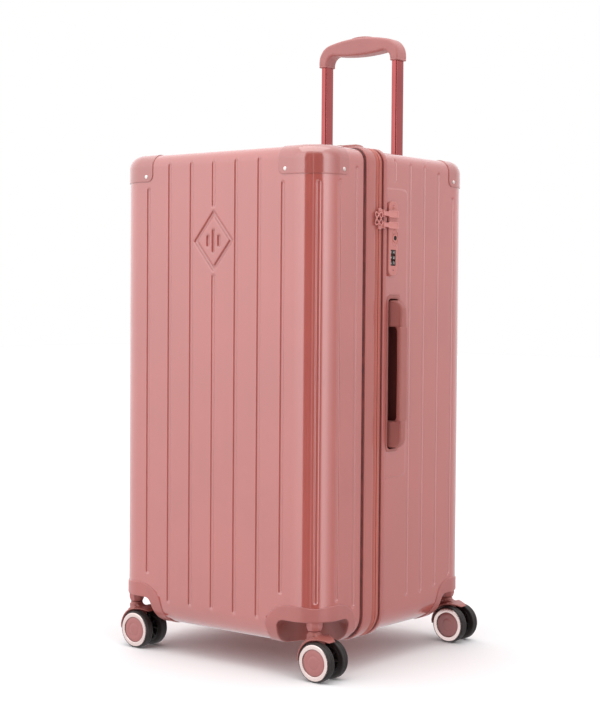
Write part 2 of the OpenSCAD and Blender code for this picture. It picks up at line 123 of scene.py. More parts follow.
def case_field(x, y, z):
    """The whole closed case, without its grooves."""
    upper = z > (TOP + BOTTOM) / 2
    r = np.where(upper, TOP_R, BOTTOM_R)
    return rounded(rrect(x, y, HALF_W, HALF_D, CORNER_R) + r, np.where(upper, z - TOP, BOTTOM - z) + r, r)


def field_mesh(f, lo, hi, pitch):
    """Surface of a field inside a box, from a grid of the given pitch and then drawn onto the zero level."""
    lo = np.asarray(lo, float) - 2.5 * pitch
    n = np.ceil((np.asarray(hi, float) + 2.5 * pitch - lo) / pitch).astype(int)
    x, y, z = np.ogrid[tuple(slice(0, k) for k in n)]
    d = f(lo[0] + pitch * x, lo[1] + pitch * y, lo[2] + pitch * z)
    grid = openvdb.FloatGrid(3.0)
    band = np.clip(np.broadcast_to(d, tuple(n)) / pitch, -3, 3)
    grid.copyFromArray(np.ascontiguousarray(band, dtype=np.float32))
    pts, _, quads = grid.convertToPolygons(isovalue=0.0, adaptivity=0.0)
    v = lo + np.asarray(pts, float) * pitch
    e = 0.05 * pitch
    for _ in range(2):
        d = f(*v.T)
        g = np.stack([f(*(v + e * axis).T) - d for axis in np.eye(3)], 1) / e
        step = d / np.maximum((g * g).sum(1), 0.25)
        v = v - g * np.clip(step, -0.4 * pitch, 0.4 * pitch)[:, None]
    return v, np.asarray(quads, int)


# ---- meshes: a mesh is (points, faces) ----

def make(name, mesh, material, body, node=None, sharp=None, paint=None):
    """A finished piece on its body, in place of its CAD node; paint numbers the material of each face."""
    verts, faces = mesh
    me = bpy.data.meshes.new(name)
    me.from_pydata((np.asarray(verts) * MM).tolist(), [], [list(map(int, f)) for f in faces])
    me.validate()
    me.polygons.foreach_set("use_smooth", np.ones(len(me.polygons), bool))
    if sharp:
        me.set_sharp_from_angle(angle=math.radians(sharp))
    for m in material if isinstance(material, tuple) else (material,):
        me.materials.append(m)
    if paint is not None:
        me.polygons.foreach_set("material_index", np.asarray(paint, np.int32))
    ob = bpy.data.objects.new(name, me)
    bpy.context.scene.collection.objects.link(ob)
    if body:
        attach(ob, body)
    if node:
        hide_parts(node)
    return ob


def mirrored(mesh, sx=1, sy=1):
    verts, faces = mesh
    if sx * sy < 0:
        faces = [list(q)[::-1] for q in faces]
    return np.asarray(verts) * np.array([sx, sy, 1.0]), faces


def joined(meshes):
    verts, faces, n = [], [], 0
    for v, f in meshes:
        verts.append(np.asarray(v, float))
        faces += [[i + n for i in q] for q in f]
        n += len(v)
    return np.vstack(verts), faces


def corner_pair(meshes, sy):
    """The meshes of a corner at +X +Y, copied to both corners of the half on the side sy."""
    return joined([mirrored(mesh, sx, sy) for sx in (-1, 1) for mesh in meshes])


def outward(verts, faces):
    """Turns every face round when the closed mesh is inside out."""
    total = 0.0
    for f in faces:
        p = verts[f]
        for k in range(1, len(f) - 1):
            total += np.dot(p[0], np.cross(p[k], p[k + 1]))
    return (verts, faces) if total > 0 else (verts, [f[::-1] for f in faces])


def placed(mesh, place, axes=(0, 1, 2)):
    """The mesh with its axes taken in another order, carried to a place."""
    return outward(np.asarray(mesh[0])[:, list(axes)] + place, [list(q) for q in mesh[1]])


def face_centres(mesh):
    return np.asarray(mesh[0])[np.asarray(mesh[1])].mean(1)


def grid_faces(n, m, close_n=False, close_m=False, skip=None):
    out = []
    for i in range(n if close_n else n - 1):
        for j in range(m if close_m else m - 1):
            if skip is None or not skip[i, j]:
                i2, j2 = (i + 1) % n, (j + 1) % m
                out.append([i * m + j, i2 * m + j, i2 * m + j2, i * m + j2])
    return out


def thin_sheet(top, low):
    """A closed cloth from two grids of points, joined round the edge."""
    n, m = top.shape[:2]
    faces = grid_faces(n, m) + [[a + n * m for a in q[::-1]] for q in grid_faces(n, m)]
    edge = (list(range(m)) + [r * m + m - 1 for r in range(1, n)]
            + [(n - 1) * m + c for c in range(m - 2, -1, -1)] + [r * m for r in range(n - 2, 0, -1)])
    faces += [[a, b, b + n * m, a + n * m] for a, b in zip(edge, edge[1:] + edge[:1])]
    return outward(np.concatenate([top.reshape(-1, 3), low.reshape(-1, 3)]), faces)


def lathe(profile, steps=64, closed=True):
    """Turns (radius, height) points about +Z; points at radius 0 close the ends."""
    verts, rings = [], []
    for r, h in profile:
        if r < 1e-6:
            rings.append([len(verts)] * steps)
            verts.append((0, 0, h))
        else:
            rings.append([len(verts) + k for k in range(steps)])
            verts += [(r * math.cos(2 * math.pi * k / steps), r * math.sin(2 * math.pi * k / steps), h)
                      for k in range(steps)]
    faces = []
    for a, b in zip(rings, rings[1:] + rings[:1] if closed else rings[1:]):
        for k in range(steps):
            q = [a[k], a[(k + 1) % steps], b[(k + 1) % steps], b[k]]
            q = [p for i, p in enumerate(q) if p != q[i - 1]]
            if len(q) > 2:
                faces.append(q)
    return np.array(verts, float), faces


def rounded_profile(points, radii, seg=4):
    """A closed outline with each corner rounded by its radius."""
    out = []
    n = len(points)
    for i, p in enumerate(points):
        r = radii[i] if hasattr(radii, "__len__") else radii
        p = np.array(p, float)
        a = np.array(points[i - 1], float) - p
        b = np.array(points[(i + 1) % n], float) - p
        if r < 1e-6:
            out.append(p)
            continue
        a, b = a / np.linalg.norm(a), b / np.linalg.norm(b)
        half = math.acos(np.clip(a @ b, -1, 1)) / 2
        t = r / math.tan(half)
        c = p + (a + b) / np.linalg.norm(a + b) * (r / math.sin(half))
        a0, a1 = p + a * t - c, p + b * t - c
        for k in range(seg + 1):
            d = a0 * (1 - k / seg) + a1 * k / seg
            out.append(c + d / np.linalg.norm(d) * r)
    return np.array(out)


def arc_points(cx, cz, r, a0, a1, n):
    return [(cx + r * math.cos(math.radians(a0 + (a1 - a0) * k / n)),
             cz + r * math.sin(math.radians(a0 + (a1 - a0) * k / n))) for k in range(n + 1)]


def smooth_line(pts, rounds=3):
    """Cuts the corners of an open line, a few times over."""
    pts = np.asarray(pts, float)
    for _ in range(rounds):
        a = pts[:-1] * 0.75 + pts[1:] * 0.25
        b = pts[:-1] * 0.25 + pts[1:] * 0.75
        pts = np.vstack([pts[:1], np.stack([a, b], 1).reshape(-1, 2)[1:-1], pts[-1:]])
    return pts


# ---- procedural materials ----

def feed(nt, n, inputs):
    """Fills a node's inputs: a socket is linked, and anything else is set as the value."""
    for key, value in inputs.items():
        if isinstance(value, bpy.types.NodeSocket):
            nt.links.new(value, n.inputs[key])
        else:
            n.inputs[key].default_value = value
    return n


def add(nt, kind, inputs, **settings):
    n = nt.nodes.new("ShaderNode" + kind)
    for key, value in settings.items():
        setattr(n, key, value)
    return feed(nt, n, inputs)


def new_material(name):
    m = bpy.data.materials.new(name)
    m.use_nodes = True
    nt = m.node_tree
    return m, nt, nt.nodes["Principled BSDF"], add(nt, "TexCoord", {}).outputs["Object"]


def noise(nt, where, scale, detail=4.0, rough=0.55, stretch=None):
    if stretch:
        where = add(nt, "Mapping", {"Vector": where, "Scale": stretch}).outputs["Vector"]
    inputs = {"Vector": where, "Scale": scale, "Detail": detail, "Roughness": rough}
    return add(nt, "TexNoise", inputs).outputs["Fac"]


def ramp(nt, fac, low, high, start=0.35, end=0.65):
    r = add(nt, "ValToRGB", {"Fac": fac})
    for stop, place, color in zip(r.color_ramp.elements, (start, end), (low, high)):
        stop.position = place
        stop.color = (*color, 1)
    return r.outputs["Color"]


def between(nt, value, from_lo, from_hi, to_lo=0.0, to_hi=1.0):
    inputs = {"Value": value, "From Min": from_lo, "From Max": from_hi, "To Min": to_lo, "To Max": to_hi}
    return add(nt, "MapRange", inputs).outputs["Result"]


def spread(nt, fac, low, high):
    return between(nt, fac, 0.3, 0.7, low, high)


def bump(nt, height, strength, distance, under=None):
    inputs = {"Height": height, "Strength": strength, "Distance": distance}
    if under is not None:
        inputs["Normal"] = under
    return add(nt, "Bump", inputs).outputs["Normal"]


def tinted(nt, fac, color, below, above, start=0.35, end=0.65):
    """The colour times below and above, by the factor."""
    low, high = (tuple(min(1.0, c * k) for c in color) for k in (below, above))
    return ramp(nt, fac, low, high, start, end)


def moulded(name, color, rough=0.4, coat=0.0, coat_rough=0.05, grain=2600.0, grain_depth=0.00004,
            variation=0.06, coat_ior=1.5):
    """Moulded plastic: slight tint drift, fine grain and uneven gloss, with a clear coat where glossy."""
    m, nt, bsdf, where = new_material(name)
    feed(nt, bsdf, {
        "Base Color": tinted(nt, noise(nt, where, 9.0, 3.0), color, 1 - variation, 1 + variation),
        "Roughness": spread(nt, noise(nt, where, 38.0, 4.0, 0.6), rough * 0.88, rough * 1.12),
        "Normal": bump(nt, noise(nt, where, grain, 3.0, 0.6), 0.35, grain_depth)})
    if coat:
        feed(nt, bsdf, {"Coat Weight": coat, "Coat Roughness": coat_rough, "Coat IOR": coat_ior})
    return m


def metal(name, color, rough, flow, variation):
    """Metal with fine brushed lines along the flow."""
    m, nt, bsdf, where = new_material(name)
    brushed = noise(nt, where, 900.0, 2.0, 0.6, flow)
    feed(nt, bsdf, {
        "Base Color": tinted(nt, noise(nt, where, 14.0, 3.0), color, 1 - variation, 1 + variation),
        "Roughness": spread(nt, brushed, rough * 0.8, rough * 1.25),
        "Normal": bump(nt, brushed, 0.25, 0.00003), "Metallic": 1.0})
    return m


def woven(name, color, across, along, scale, sheen, rough, depth):
    """Woven cloth: two crossing wave bands for the threads, fuzz, and tint drift."""
    m, nt, bsdf, where = new_material(name)
    threads = {"Vector": where, "Scale": scale, "Distortion": 0.6, "Detail": 1.0}
    bands = [add(nt, "TexWave", threads, wave_type="BANDS", bands_direction=axis).outputs["Fac"]
             for axis in (across, along)]
    weave = add(nt, "Math", dict(enumerate(bands)), operation="MULTIPLY").outputs[0]
    drift = ramp(nt, noise(nt, where, 26.0), (0.85, 0.85, 0.85), (1.0, 1.0, 1.0))
    cloth = add(nt, "Mix", {0: 0.6, 6: tinted(nt, weave, color, 0.72, 1.12, 0.05, 0.7), 7: drift},
                data_type="RGBA", blend_type="MULTIPLY").outputs[2]
    fuzz = bump(nt, noise(nt, where, 1800.0), 0.3, 0.0001)
    feed(nt, bsdf, {
        "Base Color": cloth,
        "Roughness": spread(nt, noise(nt, where, 300.0), rough * 0.9, min(1.0, rough * 1.1)),
        "Normal": bump(nt, weave, 0.6, depth, fuzz), "Sheen Weight": sheen})
    return m


def rubber(name, color):
    m, nt, bsdf, where = new_material(name)
    feed(nt, bsdf, {
        "Base Color": tinted(nt, noise(nt, where, 60.0, 5.0), color, 0.75, 1.5),
        "Roughness": spread(nt, noise(nt, where, 220.0), 0.42, 0.62),
        "Normal": bump(nt, noise(nt, where, 1400.0, 5.0), 0.5, 0.00012)})
    return m


# name, colour, roughness, coat, coat roughness, grain, grain depth, tint drift
M_SHELL = moulded("shell_gloss", (0.425, 0.084, 0.066), 0.34, 1.0, 0.025, 1500.0, 0.00003, 0.03, coat_ior=2.1)
M_GUARD = moulded("guard_gloss", (0.37, 0.078, 0.062), 0.36, 1.0, 0.04, 1500.0, 0.00003, 0.04, coat_ior=2.0)
M_TRIM = moulded("trim_satin", (0.40, 0.108, 0.092), 0.36, 0.6, 0.12, 1800.0, 0.00004, 0.04)
M_MATTE = moulded("fitting_matte", (0.355, 0.108, 0.092), 0.46, 0.15, 0.25, 1400.0, 0.00008, 0.05)
M_GRIP = moulded("grip_matte", (0.44, 0.165, 0.152), 0.44, 0.2, 0.25, 1400.0, 0.00007, 0.05)
M_LOCK = moulded("lock_satin", (0.50, 0.165, 0.145), 0.38, 0.3, 0.2, 1400.0, 0.00006, 0.04)
M_PULL = moulded("pull_satin", (0.54, 0.18, 0.16), 0.34, 0.5, 0.15, 1600.0, 0.00004, 0.05)
M_HOUSING = moulded("housing_matte", (0.40, 0.125, 0.112), 0.42, 0.35, 0.2, 1400.0, 0.00006, 0.05)
# The housing's pink made darker for the inside of the wheel wells: painted shade in the recess.
M_SHADED_LOBE = moulded("well_pink_painted_shade", (0.33, 0.095, 0.08), 0.42, 0.3, 0.2, 1400.0, 0.00006, 0.06)
# Dark red-brown: the own colour of the lock's small dot and of the trolley bezel tray, and painted shade over
# the inside of the handle cups.
M_DARK_AND_SHADE = moulded("dark_and_painted_shade", (0.16, 0.035, 0.03), 0.55, 0.0, 0.1, 1400.0, 0.00008, 0.08)
M_COIL = moulded("zip_coil", (0.47, 0.115, 0.085), 0.38, 0.2, 0.2, 2200.0, 0.00004, 0.08)
M_CAP = moulded("hub_cap_satin", (0.37, 0.125, 0.115), 0.32, 0.4, 0.2, 1500.0, 0.00005, 0.05)
M_HUB = moulded("hub_black", (0.012, 0.009, 0.009), 0.45, 0.0, 0.1, 1400.0, 0.00006, 0.2)
M_DIAL = moulded("dial_black", (0.02, 0.014, 0.014), 0.4, 0.1, 0.2, 1800.0, 0.00005, 0.2)
M_NUMBER = moulded("dial_number", (0.55, 0.56, 0.54), 0.5, 0.0, 0.1, 1800.0, 0.00003, 0.05)
M_BUCKLE = moulded("buckle_black", (0.025, 0.02, 0.02), 0.4, 0.1, 0.2, 1400.0, 0.00007, 0.1)
# name, colour, roughness, flow of the lines, tint drift
M_RIVET = metal("rivet_satin", (0.86, 0.78, 0.74), 0.28, (1, 1, 1), 0.04)
M_TUBE = metal("tube_anodised", (0.42, 0.105, 0.103), 0.24, (1.0, 1.0, 0.015), 0.05)
M_STEEL = metal("steel_satin", (0.62, 0.60, 0.59), 0.3, (1, 1, 1), 0.06)
M_CHAMPAGNE = metal("ring_champagne", (0.80, 0.67, 0.63), 0.26, (1, 1, 1), 0.05)
# name, colour, the two thread axes, wave scale, sheen, roughness, thread depth
M_TAPE = woven("zip_tape", (0.47, 0.105, 0.078), "Y", "Z", 144.0, 0.15, 0.65, 0.0002)
M_LINING = woven("lining_cloth", (0.17, 0.085, 0.08), "X", "Z", 99.2, 0.35, 0.85, 0.0002)
M_STRAP = woven("strap_webbing", (0.055, 0.03, 0.03), "X", "Z", 67.2, 0.2, 0.75, 0.0004)
M_GUSSET = woven("gusset_cloth", (0.20, 0.05, 0.045), "Y", "Z", 112.0, 0.25, 0.85, 0.0003)
# Dark rubber colour used only as painted shadow in the gaps beside the trims, not a real gasket.
M_SHADOW_STRIP = rubber("shadow_strip_painted", (0.10, 0.016, 0.014))
M_TYRE = rubber("tyre_rubber", (0.016, 0.010, 0.0095))


# ---- the shells: one section swept round the plan, with pressed flutes ----

FLUTE_HALF, FLUTE_DEPTH = 4.0, 1.7
FLUTE_PITCH = 43.2
EMBLEM_Z, EMBLEM_MID = (567.0, 670.0), 618.5


class Half:
    """Plan of one half of the case, drawn towards +Y and mirrored for the front half."""

    def __init__(self, rim, sign):
        self.rim, self.sign = rim, sign
        self.side = HALF_D - CORNER_R - rim
        self.arc = CORNER_R * math.pi / 2
        self.face = 2 * (HALF_W - CORNER_R)
        self.total = 2 * self.side + 2 * self.arc + self.face

    def at_side(self, y, right=True):
        return self.total - (y - self.rim) if right else y - self.rim

    def at_face(self, x):
        return self.side + self.arc + x + HALF_W - CORNER_R

    def at_corner(self, right=True):
        s = self.side + self.arc / 2
        return self.total - s if right else s

    def plan(self, s):
        """Point and outward direction in the plan at each distance s from the left rim."""
        right = s > self.total / 2
        t = np.where(right, self.total - s, s)
        cx, cy = -(HALF_W - CORNER_R), HALF_D - CORNER_R
        ang = np.clip((t - self.side) / CORNER_R, 0, math.pi / 2)
        nx, ny = -np.cos(ang), np.sin(ang)
        px = cx + CORNER_R * nx + np.maximum(t - self.side - self.arc, 0)
        py = np.where(t < self.side, self.rim + t, cy + CORNER_R * ny)
        flip = np.where(right, -1.0, 1.0)
        return px * flip, py, nx * flip, ny


def section(z_lines, extra_angles=()):
    """Rows up the case's side: inward offset, height, outward and upward share of the normal, distance."""
    rows = []
    for k in range(15):
        a = math.pi / 2 * (1 - k / 15)
        rows.append((BOTTOM_R * (1 - math.cos(a)), BOTTOM + BOTTOM_R * (1 - math.sin(a)),
                     math.cos(a), -math.sin(a), BOTTOM + BOTTOM_R - BOTTOM_R * a))
    rows += [(0.0, z, 1.0, 0.0, z) for z in sorted(z_lines)]
    for a in sorted([math.pi / 2 * k / 11 for k in range(1, 12)] + list(extra_angles)):
        rows.append((TOP_R * (1 - math.cos(a)), TOP - TOP_R + TOP_R * math.sin(a),
                     math.cos(a), math.sin(a), TOP - TOP_R + TOP_R * a))
    return rows


def lines(lo, hi, step, dense=(), fixed=()):
    """Sorted stations from lo to hi: a coarse step, closer about each dense place, and the fixed ones."""
    out = list(np.linspace(lo, hi, max(2, int(round((hi - lo) / step)) + 1)))
    for c, half, fine in dense:
        out = [v for v in out if abs(v - c) > half + fine * 0.5 or v in (lo, hi)]
        out += [v for v in np.arange(c - half, c + half + fine / 2, fine) if lo < v < hi]
    for v in fixed:
        out = [w for w in out if abs(w - v) > 0.25 or w in (lo, hi)]
        if lo < v < hi:
            out.append(v)
    out = sorted(set(np.round(out, 4)))
    return [v for i, v in enumerate(out) if i == 0 or v - out[i - 1] > 0.15]


def flutes(s, v, grooves):
    """Depth of the pressed grooves, each given as (distance along the plan, lower end, upper end)."""
    depth = 0 * s + 0 * v
    for s0, v0, v1 in grooves:
        r = np.hypot(s - s0, np.maximum(np.maximum(v - v1, v0 - v), 0))
        depth = np.maximum(depth, FLUTE_DEPTH * dip((r / FLUTE_HALF - 0.42) / 0.58))
    return depth


def emblem_depth(x, z):
    """A generic mark: a lozenge line round three short bars."""
    u, v = x, z - EMBLEM_MID
    ring = np.abs(np.abs(u) / 0.92 + np.abs(v) / 1.1 - 37) / 1.41
    d = dip((ring / 4.0 - 0.3) / 0.7)
    for c, h in ((-10.5, 6.5), (0.0, 15.0), (10.5, 6.5)):
        r = np.hypot(u - c, np.maximum(np.abs(v) - h, 0))
        d = np.maximum(d, dip((r / 3.6 - 0.3) / 0.7))
    return 2.4 * d


def housing_side(*edge):
    """Region of one side that a housing covers: outward from its curved inner edge, up to its top."""
    return [(300, 105.6)] + [tuple(p) for p in smooth_line(edge)] + [(300, 20)]


FACE_REGION = housing_side((152, 105.6), (141, 104.8), (127, 100.8), (113, 92), (106, 84), (102.5, 76),
                           (101, 68), (101.5, 58), (100, 50), (94, 45), (92, 38), (92, 20))
SIDE_REGION = housing_side((152, 105.6), (142, 104.8), (128, 101.5), (117, 95), (110, 86.5), (106.5, 77),
                           (104, 68), (102, 58), (99, 50), (92.5, 45), (90.9, 38), (90.9, 20))


def housing_field(x, y, z):
    """Below zero inside the corner that a wheel housing covers, for a corner at +X +Y."""
    lean = (x - HALF_W) - (y - HALF_D)
    top = 104.8 - 3.8 * np.exp(-(lean / 30.0) ** 2)
    return smax(smax(polygon(x, z, FACE_REGION), polygon(y, z, SIDE_REGION), 6.0), z - top, 2.0)


def cap(verts, faces, xs, ys, index, level, cross, holes, upward):
    """Flat top or bottom between mirrored stations of the last row, in strips cut at the cross lines."""
    n = len(xs)
    last = int(np.argmax(ys >= ys.max() - 1e-6))
    verts = list(map(tuple, verts))
    before = None
    for k in range(last + 1):
        inner = [c for c in cross if abs(c) < abs(xs[k]) - 0.5]
        marks = [xs[k]] + inner + [-xs[k]]
        if k < last:
            row = [index[k]] + [len(verts) + i for i in range(len(inner))] + [index[n - 1 - k]]
            verts += [(c, ys[k], level) for c in inner]
            spans = [[a, b] for a, b in zip(row, row[1:])]
        else:
            ends = marks[:-1] + [xs[n - 1 - k]]
            spans = [[index[i] for i in range(k, n - k) if a - 0.05 <= xs[i] <= b + 0.05]
                     for a, b in zip(ends, ends[1:])]
        for a, b, low, high in zip(marks, marks[1:], before or [], spans):
            mx, my = (a + b) / 2, (ys[k] + ys[k - 1]) / 2
            f = list(dict.fromkeys([low[0], low[-1]] + high[::-1]))
            if len(f) > 2 and not any(x0 < mx < x1 and y0 < my < y1 for (x0, x1), (y0, y1) in holes):
                faces.append(f if upward else f[::-1])
        before = spans
    return np.array(verts), faces


BOTTOM_LINES = (-96.0, 96.0)                            # the bottom is open over the two housings
BOTTOM_HOLES = [((96, 400), (94, 400)), ((-400, -96), (94, 400))]


def shell(label, body, half, s_lines, z_lines, depth, windows=(), top_holes=(), top_lines=(), angles=()):
    """Swept shell with its top and bottom, left open at the rim, the wheel housings and each window."""
    rows = section(z_lines, angles)
    px, py, nx, ny = half.plan(np.array(s_lines))
    d, z, out, up, v = (np.array(c) for c in zip(*rows))
    cut = depth(np.array(s_lines)[:, None], v[None, :])
    x = px[:, None] - nx[:, None] * (d[None, :] + cut * out[None, :])
    y = py[:, None] - ny[:, None] * (d[None, :] + cut * out[None, :])
    z = z[None, :] - cut * up[None, :]
    n, m = x.shape
    hidden = housing_field(np.abs(x), y, z) < -1
    cx, cy, cz = (0.25 * (q[1:, 1:] + q[:-1, 1:] + q[1:, :-1] + q[:-1, :-1]) for q in (x, y, z))
    skip = hidden[1:, 1:] & hidden[:-1, 1:] & hidden[1:, :-1] & hidden[:-1, :-1]
    skip &= housing_field(np.abs(cx), cy, cz) < -1
    for (x0, x1), (y0, y1), (z0, z1) in windows:
        skip |= (cx > x0) & (cx < x1) & (cy > y0) & (cy < y1) & (cz > z0) & (cz < z1)
    verts = np.stack([x, y, z], -1).reshape(-1, 3)
    faces = [f[::-1] for f in grid_faces(n, m, skip=skip)]
    for level, j, cross, holes in ((TOP, m - 1, top_lines, top_holes),
                                   (BOTTOM, 0, BOTTOM_LINES, BOTTOM_HOLES)):
        index = [i * m + j for i in range(n)]
        verts, faces = cap(verts, faces, x[:, j], y[:, j], index, level, cross, holes, j > 0)
    ob = make(f"{label}_shell_skin", mirrored((verts, faces), sy=half.sign), M_SHELL, body,
              f"{label}_shell")
    wall = ob.modifiers.new("wall", "SOLIDIFY")
    wall.thickness = WALL * MM
    wall.offset = -1.0
    wall.use_even_offset = False


def groove_set(half, face_runs, left_runs, right_runs):
    """Flutes as (distance along the plan, lower end, upper end)."""
    out = [(half.at_face(x), z0, z1) for x, z0, z1 in face_runs]
    for right, runs in ((False, left_runs), (True, right_runs)):
        out.append((half.at_corner(right), 110.0, 697.0))
        out += [(half.at_side(y, right), z0, z1) for y, z0, z1 in runs]
    return out


def z_stations(grooves, dense, fixed=()):
    """Heights for a shell's rows: closer at the housings, at the flutes' ends and at the dense places."""
    ends = sorted({g[1] for g in grooves} | {g[2] for g in grooves})
    dense = [(96.0, 14.0, 1.6)] + [(end, 5.0, 1.25) for end in ends] + dense
    return lines(BOTTOM + BOTTOM_R, TOP - TOP_R, 6.0, dense, fixed)


def face_flutes(high):
    """Seven flutes on the front or back; the outer two stop short of the housings and guards."""
    return [(i * FLUTE_PITCH, *((82.0, high) if abs(i) < 3 else (121.0, 697.0))) for i in range(-3, 4)]


# Front half: the middle flute makes room for the emblem
front = Half(FRONT_RIM, -1)
front_faces = face_flutes(733.0)
front_faces[3:4] = [(0.0, 82.0, EMBLEM_Z[0]), (0.0, EMBLEM_Z[1], 733.0)]
front_side = [(110.0, 98.0, 720.0), (149.0, 112.0, 700.0)]
front_grooves = groove_set(front, front_faces, front_side, front_side)
front_s = lines(0, front.total, 9.0,
                [(front.at_corner(r), 38.0, 2.4) for r in (False, True)]
                + [(g[0], 5.0, 0.8) for g in front_grooves] + [(front.at_face(0.0), 39.0, 1.2)],
                [front.at_side(94, r) for r in (False, True)])


def front_depth(s, v):
    emblem = np.where(np.abs(v - EMBLEM_MID) < 48, emblem_depth(s - front.at_face(0.0), v), 0)
    return np.maximum(flutes(s, v, front_grooves), emblem)


shell("front", "lid", front, front_s, z_stations(front_grooves, [(EMBLEM_MID, 46.0, 1.3)]), front_depth,
      top_lines=(-112.0, 112.0))


def inset(node, across, along, by):
    """A CAD piece's box along two axes, drawn in by a margin: where the shell is open for it."""
    lo, hi = mm_box(node)
    return lo[across] + by, hi[across] - by, lo[along] + by, hi[along] - by


# Back half: a flat raised panel carries the lock and the side handle
back = Half(BACK_RIM, 1)
PANEL = (-60.0, 16.5, 274.0, 697.0)
PANEL_R, PANEL_RISE = 9.0, 0.9
SIDE_CUP = inset("side_handle_cup", 1, 2, 2.5)
LOCK_HOLE = inset("lock_housing", 1, 2, 2)
TOP_CUP = inset("top_handle_cup", 0, 1, 2.5)
BEZEL = inset("trolley_bezel", 0, 1, 1)
side_plain = [(24.4, 96.0, 733.0), (61.6, 96.0, 733.0), (99.8, 100.0, 725.0), (139.5, 112.0, 690.0)]
back_grooves = groove_set(back, face_flutes(690.0), [(-14.0, 96.0, 737.0)] + side_plain,
                          [(-14.0, PANEL[3] + 14, 737.0)] + side_plain)
back_s = lines(0, back.total, 9.0,
               [(back.at_corner(r), 38.0, 2.4) for r in (False, True)]
               + [(g[0], 5.0, 0.8) for g in back_grooves] + [(back.at_side(PANEL[1]), 3.5, 0.5)],
               [back.at_side(y) for y in SIDE_CUP[:2] + LOCK_HOLE[:2]]
               + [back.at_side(y, r) for y in (TOP_CUP[2], TOP_CUP[3], BEZEL[2], 94) for r in (False, True)]
               + [back.at_face(x) for x in TOP_CUP[:2] + BEZEL[:2]])
back_z = z_stations(back_grooves, [(z, 3.5, 0.5) for z in PANEL[2:]], SIDE_CUP[2:] + LOCK_HOLE[2:])


def back_depth(s, v):
    y = BACK_RIM + back.total - s
    edge = rrect(y - (PANEL[0] + PANEL[1]) / 2, v - (PANEL[2] + PANEL[3]) / 2, (PANEL[1] - PANEL[0]) / 2,
                 (PANEL[3] - PANEL[2]) / 2, PANEL_R)
    t = np.clip(0.5 - edge / 3.0, 0, 1)
    return flutes(s, v, back_grooves) - PANEL_RISE * t * t * (3 - 2 * t)


right_side = (HALF_W - 5, HALF_W + 5)
shell("back", "root", back, back_s, back_z, back_depth,
      [(right_side, SIDE_CUP[:2], SIDE_CUP[2:]), (right_side, LOCK_HOLE[:2], LOCK_HOLE[2:]),
       (BEZEL[:2], BEZEL[2:], (TOP - 15, TOP + 5))],
      [(TOP_CUP[:2], TOP_CUP[2:]), (BEZEL[:2], (BEZEL[2], 400))],
      (TOP_CUP[0], BEZEL[0], BEZEL[1], TOP_CUP[1]), [math.acos(1 - (HALF_D - BEZEL[3]) / TOP_R)])


# ---- wheel housings, corner guards and rivets, made for the corner at +X +Y ----

def well_field(x, y, z):
    """The round pocket over a caster."""
    return rounded(np.hypot(x - SWIVEL[0], y - SWIVEL[1]) - 45, z - 71, 10)


def housing_solid(x, y, z):
    case, well = case_field(x, y, z), well_field(x, y, z)
    outside = smax(case - PROUD, housing_field(x, y, z), 1.8)
    hollow = smax(case + 3, 3 - well, 1.0)
    d = smax(smax(outside, -well, 2.0), -hollow, 0.5)
    u, v = x - SWIVEL[0], y - SWIVEL[1]
    facets = np.maximum(np.maximum(np.abs(u), np.abs(v)), (np.abs(u) + np.abs(v)) * 0.7071) - 11.2
    boss = smax(facets + np.clip((74 - z) * 0.35, 0, 2.2), np.abs(z - 80.5) - 12.5, 1.2)
    return np.maximum(smin(d, boss, 2.5), 4.12 - np.hypot(u, v))


def guard_solid(x, y, z):
    a, b, c = 121 - x + 10, 128 - y + 10, 709 - z + 10
    region = np.minimum(np.maximum(np.maximum(a, b), c), 0) - 10 + np.sqrt(
        np.maximum(a, 0) ** 2 + np.maximum(b, 0) ** 2 + np.maximum(c, 0) ** 2)
    case = case_field(x, y, z)
    return smax(smax(case - PROUD, region, 1.0), -case - 0.9, 0.3)


housing = field_mesh(housing_solid, (88, 88, 39), (HALF_W + 2, HALF_D + 2, 108), 1.1)
# Faces on the wheel well take the darker pink: painted shade.
well_shade_faces = np.abs(well_field(*face_centres(housing).T)) < 0.5
guard = field_mesh(guard_solid, (120, 127, 708), (HALF_W + 2, HALF_D + 2, TOP + 2), 1.05)
rivet_v, rivet_f = lathe([(0, 0.8), (1.2, 0.78), (2.1, 0.62), (2.7, 0.34), (3.0, 0.0), (2.9, -0.4),
                          (1.5, -0.5), (1.5, -3.0), (0, -3.0)], 32, closed=False)
rivets = [(rivet_v[:, [2, 0, 1]] + np.array([HALF_W + PROUD, 141, 717]), rivet_f),
          (rivet_v[:, [1, 2, 0]] + np.array([134, HALF_D + PROUD, 717]), rivet_f)]
for name, node, meshes, material, slot, paint in (
        ("wheel_housing_pair", "wheel_housings", [housing], (M_HOUSING, M_SHADED_LOBE), "housing",
         np.tile(well_shade_faces, 2)),
        ("corner_guard_pair", "corner_guards", [guard], M_GUARD, "guard", None),
        ("guard_rivets", "rivets", rivets, M_RIVET, "rivet", None)):
    for label, sy, body in HALVES:
        make(f"{name}_{label}", corner_pair(meshes, sy), material, body, f"{node}_{label}", paint=paint)
